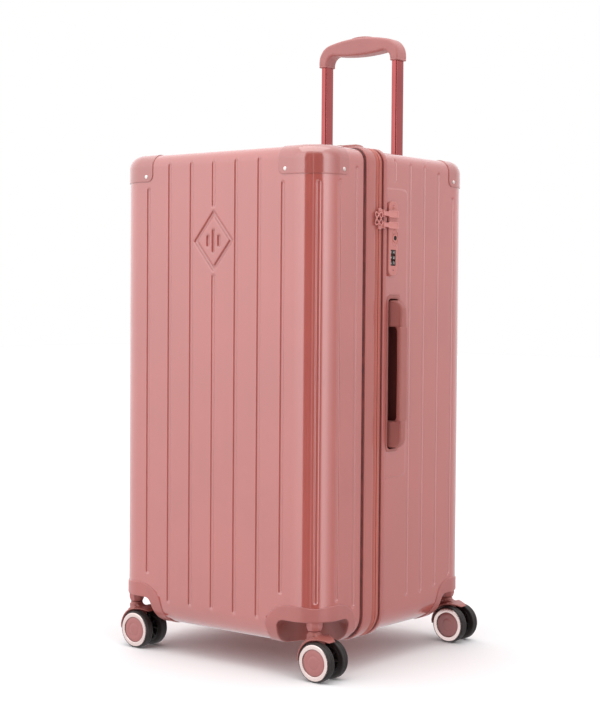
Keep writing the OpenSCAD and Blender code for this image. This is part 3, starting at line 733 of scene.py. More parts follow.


# ---- trims, dark strips of painted shadow beside them, zip tape and coil, swept round the case's outline seen from the front ----

def outline(step, start=None, end=None):
    """Stations anticlockwise from the left side: x, z, outward x, outward z, distance along.
    With start and end it is open, between those two heights on the left side."""
    w, zt, zb = HALF_W, TOP, BOTTOM
    legs = [((-w, zt - TOP_R), (-w, zb + BOTTOM_R)), ((-w + BOTTOM_R, zb + BOTTOM_R), BOTTOM_R, 180),
            ((-w + BOTTOM_R, zb), (w - BOTTOM_R, zb)), ((w - BOTTOM_R, zb + BOTTOM_R), BOTTOM_R, 270),
            ((w, zb + BOTTOM_R), (w, zt - TOP_R)), ((w - TOP_R, zt - TOP_R), TOP_R, 0),
            ((w - TOP_R, zt), (-w + TOP_R, zt)), ((-w + TOP_R, zt - TOP_R), TOP_R, 90)]
    out, run = [], 0.0
    for leg in legs:
        if len(leg) == 2:
            a, b = np.array(leg)
            length = np.linalg.norm(b - a)
            n = max(1, int(round(length / step)))
            tx, tz = (b - a) / length
            for k in range(n):
                p = a + (b - a) * k / n
                out.append((p[0], p[1], tz, -tx, run + length * k / n))
        else:
            (cx, cz), r, turned = leg
            length = r * math.pi / 2
            n = max(10, int(round(length / step)))
            for k in range(n):
                ang = math.radians(turned + 90 * k / n)
                out.append((cx + r * math.cos(ang), cz + r * math.sin(ang), math.cos(ang), math.sin(ang),
                            run + length * k / n))
        run += length
    out = np.array(out)
    if start is None:
        return out
    first = (-w, start, -1.0, 0.0, (zt - TOP_R) - start)
    last = (-w, end, -1.0, 0.0, run + (zt - TOP_R) - end)
    tail = [(-w, zt - TOP_R - k * step, -1.0, 0.0, run + k * step)
            for k in range(int(round(((zt - TOP_R) - end) / step)))]
    return np.vstack([first, out[out[:, 4] > first[4] + 0.4 * step], *tail, last])


def sweep(profile, stations, closed=False):
    """A closed ring of (y, outward height) carried round the outline; it may differ at each station."""
    profile = np.asarray(profile, float)
    n, m = len(stations), profile.shape[-2]
    y, h = profile[..., 0], profile[..., 1]
    v = np.empty((n, m, 3))
    v[..., 0] = stations[:, None, 0] + stations[:, None, 2] * h
    v[..., 1] = y
    v[..., 2] = stations[:, None, 1] + stations[:, None, 3] * h
    faces = grid_faces(n, m, close_n=closed, close_m=True)
    if not closed:
        faces += [list(range(m))[::-1], [(n - 1) * m + k for k in range(m)]]
    return outward(v.reshape(-1, 3), faces)


front_trim = rounded_profile([(-90, -0.3), (-90, 2.9), (-87.5, 4.0), (-71.5, 4.0), (-69, 3.4), (-69, -2.9),
                              (-71, -2.9), (-71, -0.3)], [0, 1.0, 2.2, 2.2, 0.5, 0, 0, 0])
back_trim = rounded_profile([(-48, -2.9), (-48, 3.2), (-46.2, 4.0), (-40.6, 4.0), (-39, 2.4), (-39, -0.3),
                             (-46, -0.3), (-46, -2.9)], [0, 0.6, 1.2, 1.2, 0.7, 0, 0, 0])
# The two dark strips are painted shadow. One lies in the gap between the front shell and its trim, the other
# between the back zip tape and the back trim, where there is only shade.
front_shadow_strip = rounded_profile([(-93.6, -0.5), (-93.2, 0.9), (-90.1, 1.5), (-90.1, -0.5)],
                               [0, 0.7, 0.3, 0], 3)
back_shadow_strip = rounded_profile([(-51.6, 0.6), (-51.2, 1.7), (-48.1, 1.2), (-48.1, 0.6)], [0, 0.4, 0.3, 0], 3)
rim = outline(14.0)
for name, profile, material, body, node in (
        ("front_trim_band", front_trim, M_TRIM, "lid", "front_edge_trim"),
        ("back_trim_band", back_trim, M_TRIM, "root", "back_edge_trim"),
        ("front_shadow_strip", front_shadow_strip, M_SHADOW_STRIP, "lid", None),
        ("back_shadow_strip", back_shadow_strip, M_SHADOW_STRIP, "root", None)):
    make(name, sweep(profile, rim, True), material, body, node, sharp=50)

ZIP_ENDS = (130.0, TOP - 80.0)
COIL_TURN = 1.9
COIL_RING = np.array([(-1.95, -0.5), (-1.75, 0.35), (-0.9, 1.0), (0.0, 1.2), (0.9, 1.0), (1.75, 0.35),
                      (1.95, -0.5)])
front_tape = [(-69, 1.0), (-69, 2.3), (-67.4, 2.8), (-64.6, 2.9), (-60.5, 2.6), (-60.5, 1.4), (-64.5, 1.5)]
back_tape = [(-59.5, 1.4), (-59.5, 2.6), (-55.4, 2.9), (-53.4, 2.8), (-51.7, 1.9), (-48.4, 0.6),
             (-48.4, -0.4), (-52.2, 0.4), (-54, 1.5)]
for label, tape, body in (("front", front_tape, "lid"), ("back", back_tape, "root")):
    make(f"zip_tape_cloth_{label}", sweep(tape, outline(9.0, *ZIP_ENDS)), M_TAPE, body,
         f"zip_tape_{label}", sharp=40)
# One row of the coil on each tape: a ridge whose turns stand up
coil_line = outline(COIL_TURN / 4, *ZIP_ENDS)
turn = (0.5 + 0.5 * np.cos(coil_line[:, 4] * 2 * math.pi / COIL_TURN))[:, None]
for label, row_y, body in (("front", -62.5, "lid"), ("back", -57.5, "root")):
    ridge = np.stack([row_y + COIL_RING[:, 0] * (0.93 + 0.07 * turn),
                      2.55 + COIL_RING[:, 1] * (0.62 + 0.38 * turn)], -1)
    make(f"zip_coil_{label}", sweep(ridge, coil_line), M_COIL, body)


# ---- zip sliders and pull tabs ----

slider_lo, slider_hi = mm_box("zip_sliders")
PIVOT_X, PIVOT_Y = HALF_W + 6.7, -52.8
ZIP_MIDDLE = -59.9


def slider_head(zc, way):
    def solid(x, y, z):
        v, w, h = y - ZIP_MIDDLE, (z - zc) * way, x - HALF_W
        half = 4.1 - 1.3 * np.clip((np.abs(w) - 3) / 4.6, 0, 1) ** 1.5
        plate = extrude(smax(np.abs(v) - half, np.abs(w) - 7.5, 3.0), h - 4.9, 1.55, 0.9)
        wings = extrude(np.maximum(np.abs(np.abs(v) - 3.4) - 0.7, np.abs(w) - 6.4), h - 4.2, 1.0, 0.3)
        post = extrude(rrect(v - 3.6, w, 2.6, 5.4, 1.0), h - 5.2, 1.3, 0.7)
        ear = extrude(np.hypot(x - PIVOT_X + 0.4, y - PIVOT_Y) - 2.1, np.abs(w) - 4.7, 0.75, 0.4)
        arm = extrude(rrect(h - 5.6, y - PIVOT_Y - 1.6, 1.4, 3.2, 0.8), np.abs(w) - 4.7, 0.75, 0.4)
        pin = extrude(np.hypot(x - PIVOT_X, y - PIVOT_Y) - 1.05, w, 5.2, 0.3)
        return smin(smin(smin(plate, wings, 0.8), smin(post, arm, 0.6), 0.8), smin(ear, pin, 0.3), 0.5)

    return field_mesh(solid, (HALF_W + 3.0, -65, zc - 8), (HALF_W + 8.6, -49, zc + 8), 0.26)


def slider_loop(way, turns=96, sides=12):
    """The long wire loop on a slider; the two lean opposite ways and cross."""
    a = np.arange(turns) * 2 * math.pi / turns
    lean = math.radians(38 * way)
    cu, cv = (size * np.sign(f(a)) * np.abs(f(a)) ** 0.8 for size, f in ((10.5, np.cos), (4.0, np.sin)))
    line = np.stack([HALF_W + 7.3 + 0.9 * way * np.cos(a), -65.6 + cu * math.sin(lean) + cv * math.cos(lean),
                     (slider_lo[2] + slider_hi[2]) / 2 + cu * math.cos(lean) - cv * math.sin(lean)], 1)
    along = np.roll(line, -1, 0) - np.roll(line, 1, 0)
    along /= np.linalg.norm(along, axis=1)[:, None]
    side = np.cross(along, [1.0, 0, 0])
    side /= np.linalg.norm(side, axis=1)[:, None]
    b = (np.arange(sides) * 2 * math.pi / sides)[None, :, None]
    tube = line[:, None] + 1.15 * (side[:, None] * np.cos(b) + np.cross(side, along)[:, None] * np.sin(b))
    return outward(tube.reshape(-1, 3), grid_faces(turns, sides, True, True))


def pull_tab(zc):
    def solid(x, y, z):
        w, h = z - zc, x - PIVOT_X
        wide = 3.3 + 2.0 / (1 + np.exp(-(y + 40) * 1.2))
        blade = extrude(smax(np.abs(w) - wide, np.maximum(y + 15.6, -52.6 - y), 3.4), h, 1.38, 0.75)
        hollow = smax(np.abs(w) - wide + 1.7, np.maximum(y + 18.2, -46.5 - y), 2.4)
        dent = extrude(hollow, h - 1.5, 0.55, 0.25)
        eye = extrude(np.hypot(h, y - PIVOT_Y) - 2.08, w, 3.35, 0.6)
        hole = np.hypot(h, y - PIVOT_Y) - 1.28
        return smax(smin(smax(blade, -dent, 0.3), eye, 0.8), -hole, 0.2)

    return field_mesh(solid, (HALF_W + 4.4, -56, zc - 6), (HALF_W + 9, -15, zc + 6), 0.3)


for number, word, way, zc in ((1, "upper", 1, slider_hi[2] - 7.6), (2, "lower", -1, slider_lo[2] + 7.6)):
    make(f"zip_slider_head_{number}", joined([slider_head(zc, way), slider_loop(way)]), M_PULL, "root",
         "zip_sliders")
    make(f"pull_tab_{word}", pull_tab(zc), M_PULL, f"puller_{word}", f"zip_puller_{word}")


# ---- lock ----

lock_lo, lock_hi = mm_box("lock_housing")
LOCK_FACE = lock_hi[0]
_, LOCK_Y, LOCK_Z = (lock_lo + lock_hi) / 2
_, LOCK_HALF_Y, LOCK_HALF_Z = (lock_hi - lock_lo) / 2
_, KEY_Y, KEY_Z = sum(mm_box("lock_key_cylinder")) / 2
_, PRESS_Y, PRESS_Z = sum(mm_box("lock_button")) / 2
DIALS = []                                              # centre, half width, radius
for i in (1, 2, 3):
    lo, hi = mm_box(f"lock_dial_{i}")
    DIALS.append(((lo + hi) / 2, (hi[2] - lo[2]) / 2, (hi[0] - lo[0]) / 2))


def lock_plan(y, z, margin, r):
    return rrect(y - LOCK_Y, z - LOCK_Z, LOCK_HALF_Y - margin, LOCK_HALF_Z - margin, r)


def lock_solid(x, y, z):
    h = x - LOCK_FACE
    plan = lock_plan(y, z, 0, 9.0)
    case = np.maximum(lock_plan(y, z, 2, 3.0), np.abs(h + 13.2) - 8.3)
    d = np.minimum(extrude(plan, h + 2.6, 2.6, 1.1), case)
    line = np.abs(lock_plan(y, z, 2.1, 7.0)) - 0.22
    d = smax(d, -np.maximum(line, -h - 0.35), 0.15)
    oval = rrect(y - KEY_Y, z - KEY_Z, 7.0, 11.6, 7.0)
    ring = extrude(np.abs(oval) - 0.55, h, 0.42, 0.3)
    d = smin(d, np.maximum(ring, plan + 0.2), 0.3)
    d = smax(d, -np.maximum(oval + 0.9, -h - 0.5), 0.3)
    nub = extrude(np.abs(np.hypot(y - PRESS_Y, z - PRESS_Z) - 3.6) - 0.5, h, 0.4, 0.3)
    d = smin(d, nub, 0.3)
    for c, half, r in DIALS:
        window = extrude(rrect(y - c[1], z - c[2], 6.1, half + 0.42, 1.0), h, 3.2, 0.4)
        hollow = np.maximum(np.hypot(x - c[0], y - c[1]) - r - 0.35, np.abs(z - c[2]) - half - 0.35)
        d = smax(smax(d, -window, 0.5), -hollow, 0.05)
    d = smax(d, -np.maximum(np.hypot(y - KEY_Y, z - KEY_Z) - 6.12, -h - 4.7), 0.2)
    return smax(d, -np.maximum(np.hypot(y - PRESS_Y, z - PRESS_Z) - 2.38, -h - 5.8), 0.2)


def key_solid(x, y, z):
    r, h = np.hypot(y - KEY_Y, z - KEY_Z), x - LOCK_FACE
    plug = extrude(r - 5.95, h + 2.1, 2.45, 0.35)
    dish = extrude(r - 3.4, h - 0.4, 0.95, 0.25)
    slot = np.maximum(rrect(y - KEY_Y, z - KEY_Z, 0.9, 3.2, 0.3), -h - 2.6)
    return smax(smax(plug, -dish, 0.2), -slot, 0.1)


def digit(character):
    """Mesh of one plain number, from Blender's own font."""
    curve = bpy.data.curves.new("digit", "FONT")
    curve.body = character
    curve.size = 5.2
    curve.extrude = 0.1
    curve.align_x = "CENTER"
    curve.resolution_u = 5
    holder = bpy.data.objects.new("digit", curve)
    bpy.context.scene.collection.objects.link(holder)
    me = bpy.data.meshes.new_from_object(holder.evaluated_get(bpy.context.evaluated_depsgraph_get()))
    mesh = np.array([tuple(p.co) for p in me.vertices]), [list(p.vertices) for p in me.polygons]
    bpy.data.objects.remove(holder)
    bpy.data.curves.remove(curve)
    bpy.data.meshes.remove(me)
    return mesh


def drum(half, r):
    """A dial's black drum with a finely toothed rim."""
    upper = [(r - 0.02, half - 1.2), (r - 0.15, half - 0.9), (r - 0.15, half - 0.5), (r - 0.9, half),
             (1.7, half)]
    v, f = lathe([(a, -h) for a, h in upper[::-1]] + upper, 80)
    rim = (np.abs(v[:, 2]) > half - 1.0) & (np.hypot(v[:, 0], v[:, 1]) > r - 0.5)
    teeth = 0.05 * (0.5 - 0.5 * np.cos(np.arctan2(v[:, 1], v[:, 0]) * 20))
    v[:, :2] *= np.where(rim, 1 - teeth, 1.0)[:, None]
    return outward(v, f)


lock = field_mesh(lock_solid, (LOCK_FACE - 21.6, lock_lo[1], lock_lo[2]),
                  (LOCK_FACE + 0.6, lock_hi[1], lock_hi[2]), 0.42)
cx, cy, cz = face_centres(lock).T
in_window = np.zeros(len(cx), bool)
for c, half, r in DIALS:
    in_window |= (np.abs(cz - c[2]) < half + 0.5) & (np.abs(cy - c[1]) < 9.5) & (cx < LOCK_FACE - 0.4)
make("lock_body", lock, (M_LOCK, M_DIAL), "root", "lock_housing",
     paint=in_window & (cx > LOCK_FACE - 20))

digits = [digit(str(k)) for k in range(10)]
for i, ((c, half, r), shown) in enumerate(zip(DIALS, (4, 0, 7)), 1):
    parts = [drum(half, r)]
    for k, (v, f) in enumerate(digits):
        ang = (k - shown) * math.pi / 5 + v[:, 0] / r
        out = r + 0.04 + v[:, 2]
        parts.append((np.stack([out * np.cos(ang), out * np.sin(ang), v[:, 1] - 1.8], 1), f))
    verts, faces = joined(parts)
    make(f"dial_drum_{i}", (verts + c, faces), (M_DIAL, M_NUMBER), f"lock_dial_{i}", f"lock_dial_{i}",
         sharp=35, paint=np.arange(len(faces)) >= len(parts[0][1]))

key = field_mesh(key_solid, (LOCK_FACE - 4.7, KEY_Y - 6, KEY_Z - 6),
                 (LOCK_FACE + 0.5, KEY_Y + 6, KEY_Z + 6), 0.17)
cx, cy, cz = face_centres(key).T
make("key_plug", key, (M_LOCK, M_DIAL), "lock_key", "lock_key_cylinder",
     paint=(np.hypot(cy - KEY_Y, cz - KEY_Z) < 3.5) & (cx > LOCK_FACE - 3))
push = lathe([(0, 0.95), (0.9, 0.9), (1.7, 0.6), (2.15, 0.1), (2.25, -0.4), (2.25, -2.9), (0, -2.9)],
             40, closed=False)
make("lock_push", placed(push, (LOCK_FACE, PRESS_Y, PRESS_Z), (2, 0, 1)), M_LOCK, "lock_button",
     "lock_button")
mark = lathe([(0, 0.22), (0.8, 0.2), (1.15, 0.02), (1.15, -0.4), (0, -0.4)], 32, closed=False)
make("lock_mark", placed(mark, (LOCK_FACE, LOCK_Y, lock_lo[2] + 8), (2, 0, 1)), M_DARK_AND_SHADE, "root")


# ---- carry handles and their cups: u along the handle, v across, w out of the shell ----

def carry_solid(u, v, w):
    a = np.abs(u)
    ends = 1 / (1 + np.exp(-(a - 68.8) * 6))
    narrow = 2.6 * ends * np.clip((w - 2) / 14, 0, 1)
    outside = extrude(rrect(u, w - 4.75, 107.9, 16.7, 15.0), np.abs(v) + narrow, 9.45, 3.4)
    belly = 13.2 + 0.5 * np.cos(u / 69 * math.pi / 2) ** 2
    hole = smax(a - 69.0, w - belly, 8.0)
    return smax(outside, -hole, 3.0) + 0.5 * np.exp(-((a - 68.8) / 0.55) ** 2)


def cup_solid(u, v, w):
    tub = extrude(rrect(u, v, 112.2, 14.95, 7.0), w + 9.2, 9.7, 2.5)
    flange = extrude(rrect(u, v, 114.7, 17.45, 8.5), w - 0.7, 0.9, 0.75)
    inside = extrude(rrect(u, v, 109.9, 12.7, 5.5), w - 1.6, 18.2, 2.2)
    return smax(smin(tub, flange, 0.4), -inside, 0.9)


bar = field_mesh(carry_solid, (-108, -9.5, -12), (108, 9.5, 21.5), 0.95)
tub = field_mesh(cup_solid, (-115, -17.5, -19), (115, 17.5, 1.7), 0.95)
cu, cv, cw = face_centres(tub).T
# Faces inside each cup take the dark material: painted shade in the recess.
tub_shade_faces = (cw < 0.6) & (np.abs(cu) < 110.6) & (np.abs(cv) < 13.4)
_, side_y, side_z = sum(mm_box("side_handle")) / 2
top_x, top_y, _ = sum(mm_box("top_handle")) / 2
for name, place, axes in (("side", (HALF_W, side_y, side_z), (2, 1, 0)),
                          ("top", (top_x, top_y, TOP), (0, 1, 2))):
    make(f"carry_bar_{name}", placed(bar, place, axes), M_MATTE, f"{name}_handle", f"{name}_handle")
    make(f"carry_tub_{name}", placed(tub, place, axes), (M_MATTE, M_DARK_AND_SHADE), "root",
         f"{name}_handle_cup", paint=tub_shade_faces)


# ---- trolley ----

tube_lo, tube_hi = mm_box("trolley_inner_tubes")
TUBE_X, TUBE_Y = tube_hi[0] - 5.5, (tube_lo[1] + tube_hi[1]) / 2
TUBE_WALL, TUBE_R = 1.1, 3.0
GRIP_LO, GRIP_HI = mm_box("trolley_grip")
GRIP_W, GRIP_TOP, LEG_Z = GRIP_HI[0], GRIP_HI[2], GRIP_LO[2]
CROWN_R, GRIP_R = 250, 28


def tube_mesh(width, depth, z0, z1):
    """A rounded rectangular tube with its wall and a small chamfer at both ends."""
    rings = []
    for inset_by, z in ((0.4, z0), (0, z0 + 0.4), (0, z1 - 0.4), (0.4, z1), (TUBE_WALL, z1), (TUBE_WALL, z0)):
        w, d = width / 2 - inset_by, depth / 2 - inset_by
        ring = rounded_profile([(-w, -d), (w, -d), (w, d), (-w, d)], TUBE_R - inset_by, 6)
        rings.append([(x, y, z) for x, y in ring])
    return outward(np.array(rings).reshape(-1, 3), grid_faces(len(rings), len(rings[0]), True, True))


def grip_outlines():
    """Outer and inner outline of the grip in the XZ plane: a wide crown that runs into round corners."""
    corner_x = GRIP_W - GRIP_R
    crown_z = GRIP_TOP - CROWN_R
    corner_z = crown_z + math.sqrt((CROWN_R - GRIP_R) ** 2 - corner_x ** 2)
    meet = math.degrees(math.asin(corner_x / (CROWN_R - GRIP_R)))
    over = (arc_points(0, crown_z, CROWN_R, 90, 90 - meet, 8)[:-1]
            + arc_points(corner_x, corner_z, GRIP_R, 90 - meet, 0, 10))
    low = GRIP_TOP - 29
    under = ([(0, low)] + [(x, low + x * x / 660) for x in (10, 20, 30, 40)]
             + arc_points(49, low - 10, 14, 86, 0, 8))
    return (over + [(GRIP_W, LEG_Z - 30), (-GRIP_W, LEG_Z - 30)] + [(-x, z) for x, z in over[:0:-1]],
            under + [(63, LEG_Z - 40), (-63, LEG_Z - 40)] + [(-x, z) for x, z in under[:0:-1]])


GRIP_OUT, GRIP_IN = grip_outlines()


def grip_solid(x, y, z):
    d = smax(extrude(polygon(x, z, GRIP_OUT), y - TUBE_Y, 13.45, 5.0), -polygon(x, z, GRIP_IN), 5.0)
    d = smax(d, LEG_Z + 0.02 - z, 0.8)
    socket = np.maximum(rrect(np.abs(x) - TUBE_X, y - TUBE_Y, 5.55, 10.55, 3.0), z - LEG_Z - 10)
    well = np.maximum(rrect(x, y - TUBE_Y, 20.3, 7.3, 7.1), GRIP_TOP - 6 - z)
    seam = 0.4 * np.exp(-((z - LEG_Z - 3.2) / 0.5) ** 2)
    return smax(smax(d + seam, -socket, 0.2), -well, 0.7)


push_lo, push_hi = mm_box("trolley_button")


def push_solid(x, y, z):
    plan = rrect(x, y - TUBE_Y, 19.95, 6.95, 6.8)
    crown = np.sqrt(x * x + (y - TUBE_Y) ** 2 * 3 + (z - push_hi[2] + 90) ** 2) - 90
    block = extrude(plan, z - (push_lo[2] + push_hi[2]) / 2, (push_hi[2] - push_lo[2]) / 2, 1.2)
    return smax(block, crown, 1.0)


bezel_lo, bezel_hi = mm_box("trolley_bezel")
BEZEL_Y = (bezel_lo[1] + bezel_hi[1]) / 2


def bezel_solid(x, y, z):
    def plan(margin, r):
        return rrect(x, y - BEZEL_Y, bezel_hi[0] - margin, bezel_hi[1] - BEZEL_Y - margin, r)

    h = z - bezel_lo[2]
    tray = np.maximum(plan(1.7, 2.0), 5 - h)
    d = smax(smax(extrude(plan(0.05, 3.0), h - 40, 39.9, 1.0), -tray, 0.5), case_field(x, y, z) - 0.75, 0.6)
    ribs = extrude(np.abs(np.abs(x) % 22 - 11) - 0.5, h - 5.2, 0.5, 0.2)
    ribs = np.maximum(ribs, np.maximum(np.abs(x) - 52, np.abs(y - BEZEL_Y) - 12))
    holes = rrect(np.abs(x) - TUBE_X, y - TUBE_Y, 8.72, 13.72, 3.0)
    return smax(smin(d, ribs, 0.5), -holes, 0.2)


for stage, body, width, depth in (("outer", "root", 17.4, 27.4), ("middle", "trolley_middle", 14.2, 24.2),
                                  ("inner", "trolley_handle", 11.0, 21.0)):
    lo, hi = mm_box(f"trolley_{stage}_tubes")
    v, f = tube_mesh(width, depth, lo[2] + 0.02, hi[2] - 0.02)
    make(f"trolley_{stage}_tube_pair", joined([(v + np.array([s * TUBE_X, TUBE_Y, 0]), f) for s in (-1, 1)]),
         M_TUBE, body, f"trolley_{stage}_tubes", sharp=40)
grip = field_mesh(grip_solid, (-GRIP_W, TUBE_Y - 13.5, LEG_Z), (GRIP_W, TUBE_Y + 13.5, GRIP_TOP), 0.9)
make("grip_bridge", grip, M_GRIP, "trolley_handle", "trolley_grip")
button = field_mesh(push_solid, (-20, TUBE_Y - 7, push_lo[2]), (20, TUBE_Y + 7, push_hi[2]), 0.45)
make("grip_push", button, M_GRIP, "trolley_button", "trolley_button")
bezel = field_mesh(bezel_solid, (-93, bezel_lo[1], bezel_lo[2]), (93, bezel_hi[1], bezel_hi[2]), 0.8)
make("bezel_tray", bezel, M_DARK_AND_SHADE, "root", "trolley_bezel")


# ---- casters: u along the trail, v across, w above the floor ----

WHEEL_R, TRAIL = 28.0, 16.5
WHEEL_GAP = 9.0                                         # from the swivel's middle plane to a wheel
WEB = [(-9, 58), (-9, 63), (9, 63), (15, 60.4), (13, 55), (20, 38), (25.2, 30), (23.5, 22), (8.5, 24)]
BLADE = arc_points(TRAIL, WHEEL_R, 33.0, 96, 184, 26) + arc_points(TRAIL, WHEEL_R, 30.5, 184, 96, 26)
TIP = [(6, 58.4), (16, 60.4), (27, 58.6), (33.5, 54.6), (30, 55.4), (24, 56.6), (14, 57.2), (6, 56.4)]
RIB = [(TRAIL, WHEEL_R + 30), (-14.5, WHEEL_R + 10), (-8, 56), (4, 62)]


def fork_solid(u, v, w):
    swivel, axle = np.hypot(u, v), np.hypot(u - TRAIL, w - WHEEL_R)
    stem = extrude(swivel - 9.0, w - 60.2, 7.2, 1.0)
    ring = extrude(swivel - 9.4, w - 62.8, 1.1, 0.5)
    pin = extrude(swivel - 3.95, w - 70, 15.8, 0.6)
    web = extrude(polygon(u, w, WEB), v, 6.9, 1.6)
    boss = extrude(axle - 8.0, v, 7.0, 0.8)
    across = 18.9 - 3.5 * np.clip((WHEEL_R + 6 - w) / 14, 0, 1) ** 2
    hood = extrude(polygon(u, w, BLADE), np.abs(v) * 18.9 / across, 18.9, 1.0)
    tip = extrude(polygon(u, w, TIP), np.abs(v) + np.clip((u - 14) * 0.55, 0, 20), 17.5, 0.8)
    rib = extrude(polygon(u, w, RIB), np.abs(v) - 9.5, 0.9, 0.5)
    d = smin(smin(web, boss, 2.5), smin(stem, ring, 0.8), 2.5)
    d = smin(smin(d, smin(hood, tip, 1.5), 2.2), smin(pin, rib, 0.8), 0.8)
    clear = np.maximum(axle - 30.3, 8.6 - np.abs(v))
    return smax(smax(d, -clear, 0.3), 3.03 - axle, 0.1)


def hub_solid(u, v, w):
    r, a = np.hypot(u, v), np.arctan2(v, u)
    core = extrude(r - 21.95, w - 6.4, 6.4, 0.5)
    groove = extrude(np.abs(r - 13.0) - 5.9, w, 5.0, 0.8)
    spoke = np.abs((a / (math.pi / 4) + 0.5) % 1 - 0.5) * (math.pi / 4) * r - 1.3
    lip = np.abs(r - 16.4) - 0.5
    pocket = smax(groove, -np.minimum(np.maximum(spoke, 0.8 - w), np.maximum(lip, 2.4 - w)), 0.5)
    return smax(smax(core, -pocket, 0.5), np.maximum(3.07 - r, w - 11.6), 0.1)


# Wheel pieces stand on their inner face, turned about +Z: (radius, height)
TYRE = lathe(rounded_profile(
    [(22.05, 0.3), (27.2, 0.3), (28.0, 3.0), (28.0, 4.6), (27.5, 4.8), (27.5, 5.3), (28.0, 5.5), (28.0, 8.0),
     (27.5, 8.2), (27.5, 8.7), (28.0, 8.9), (28.0, 10.6), (26.8, 13.4), (22.05, 13.4)],
    [0.3, 2.0, 1.5, 0.1, 0.1, 0.1, 0.1, 0.1, 0.1, 0.1, 0.1, 1.5, 1.4, 0.2], 3), 96)
RING = lathe(rounded_profile(
    [(19.2, 12.9), (19.2, 14.1), (19.8, 14.45), (24.5, 14.45), (25.45, 13.7), (25.45, 13.5), (22.0, 13.5),
     (22.0, 12.9)], [0.1, 0.3, 0.3, 0.7, 0.1, 0.05, 0.05, 0.1], 3), 96)
CAP = lathe([(0, 14.3), (5, 14.28), (9.0, 14.2), (9.4, 14.0), (10.0, 14.0), (10.4, 14.15), (14, 14.05),
             (17.6, 13.85), (18.6, 13.5), (19.0, 12.9), (19.0, 12.2), (0, 12.2)], 96, closed=False)
HUB = field_mesh(hub_solid, (-22, -22, 0), (22, 22, 12.8), 0.75)
AXLE = lathe([(0, -21), (2.6, -21), (2.98, -20.6), (2.98, 20.6), (2.6, 21), (0, 21)], 40, closed=False)
fork_v, fork_f = field_mesh(fork_solid, (-17, -19, 19), (35, 19, 86), 0.8)

for corner, sx, sy in (("front_left", -1, -1), ("front_right", 1, -1),
                       ("rear_left", -1, 1), ("rear_right", 1, 1)):
    home = np.array([sx * SWIVEL[0], sy * SWIVEL[1], 0.0])
    centre = home + np.array([TRAIL, 0, WHEEL_R])
    caster = f"{corner}_caster"
    make(f"{corner}_yoke", (fork_v + home, fork_f), M_MATTE, caster, f"{corner}_fork")
    make(f"{corner}_spindle", placed(AXLE, centre, (0, 2, 1)), M_STEEL, caster, f"{corner}_axle",
         sharp=40)
    for place, side in (("inner", -sy), ("outer", sy)):
        body = f"{corner}_{place}_wheel"
        middle = centre + np.array([0, side * WHEEL_GAP, 0])
        for part, (v, f), material, slot, node, sharp in (
                ("tyre", TYRE, M_TYRE, "tyre", f"{corner}_{place}_tyre", 45),
                ("core", HUB, M_HUB, "hub", f"{corner}_{place}_hub", None),
                ("ring", RING, M_CHAMPAGNE, "hub", None, 50), ("cap", CAP, M_CAP, "hub", None, None)):
            facing = v * np.array([1, 1, side])
            make(f"{body}_{part}", placed((facing, f), middle, (0, 2, 1)), material, body, node, sharp)


# ---- linings ----

COVER = WALL + 3.0
BACK_PANEL_Y = 150.6                                    # the back lining hangs before the trolley's tubes
RIM_GAP = 2.5


def ripple(x, y, z):
    a = np.sin(0.041 * x + 0.013 * z + 1.1) * np.sin(0.029 * z - 0.017 * x + 0.4)
    b = np.sin(0.083 * (x + y) - 0.031 * z) * np.sin(0.052 * z + 0.061 * y + 2.0)
    return 0.55 + 0.3 * a + 0.22 * b


def lining_front(x, y, z):
    """The cloth over the shell's inside and over the housings of the casters."""
    d = case_field(x, y, z) + COVER + ripple(x, y, z)
    d = smax(d, 4.6 - well_field(np.abs(x), np.abs(y), z), 8.0)
    u, v = np.abs(x) - SWIVEL[0], np.abs(y) - SWIVEL[1]
    return smax(d, 5.0 - np.maximum(np.hypot(u, v) - 10, z - 93), 6.0)


def lining_back(x, y, z):
    """As the front one, and over the lock, both handle cups and the trolley."""
    d = smax(lining_front(x, y, z), y - BACK_PANEL_Y + ripple(x, 0, z), 12.0)
    for lo, hi in (((LOCK_FACE - 22, lock_lo[1], lock_lo[2]), (HALF_W, lock_hi[1], lock_hi[2])),
                   ((HALF_W - 19.5, SIDE_CUP[0] - 1, SIDE_CUP[2] - 1),
                    (HALF_W, SIDE_CUP[1] + 1, SIDE_CUP[3] + 1)),
                   ((TOP_CUP[0] - 1, TOP_CUP[2] - 1, TOP - 19.5), (TOP_CUP[1] + 1, TOP_CUP[3] + 1, TOP))):
        d = smax(d, 3.2 - slab(x, y, z, lo, hi, 3.0), 7.0)
    return d


for label, field, y0, y1, body in (("front", lining_front, -HALF_D, -FRONT_RIM - RIM_GAP, "lid"),
                                   ("back", lining_back, BACK_RIM + RIM_GAP, 151, "root")):
    v, f = field_mesh(field, (-HALF_W, y0, BOTTOM), (HALF_W, y1, TOP), 4.2)
    y = face_centres((v, f))[:, 1]
    used, f = np.unique(f[y < y1 if body == "lid" else y > y0 - 1], return_inverse=True)
    ob = make(f"lining_sheet_{label}", (v[used], f.reshape(-1, 4)), M_LINING, body,
              f"lining_{label}")


# ---- hinge gusset: a thin cloth with a soft wave ----

gus_lo, gus_hi = mm_box("hinge_gusset")
z = np.linspace(gus_lo[2] + 0.3, gus_hi[2] - 0.3, 170)[:, None]
y = np.linspace(gus_lo[1] + 0.2, gus_hi[1] - 0.2, 26)[None, :]
wave = (gus_lo[0] + gus_hi[0]) / 2 + 0.18 * np.sin(y * 1.5)
wave = wave + 0.07 * np.sin(z * 0.31) * np.sin(y * 0.9 + z * 0.05)
layers = [np.stack(np.broadcast_arrays(wave + half, y, z), -1) for half in (-0.4, 0.4)]
ob = make("gusset_cloth_strip", thin_sheet(*layers), M_GUSSET, None, "hinge_gusset")
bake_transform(ob)


# ---- packing straps, their buckle and anchor plates ----

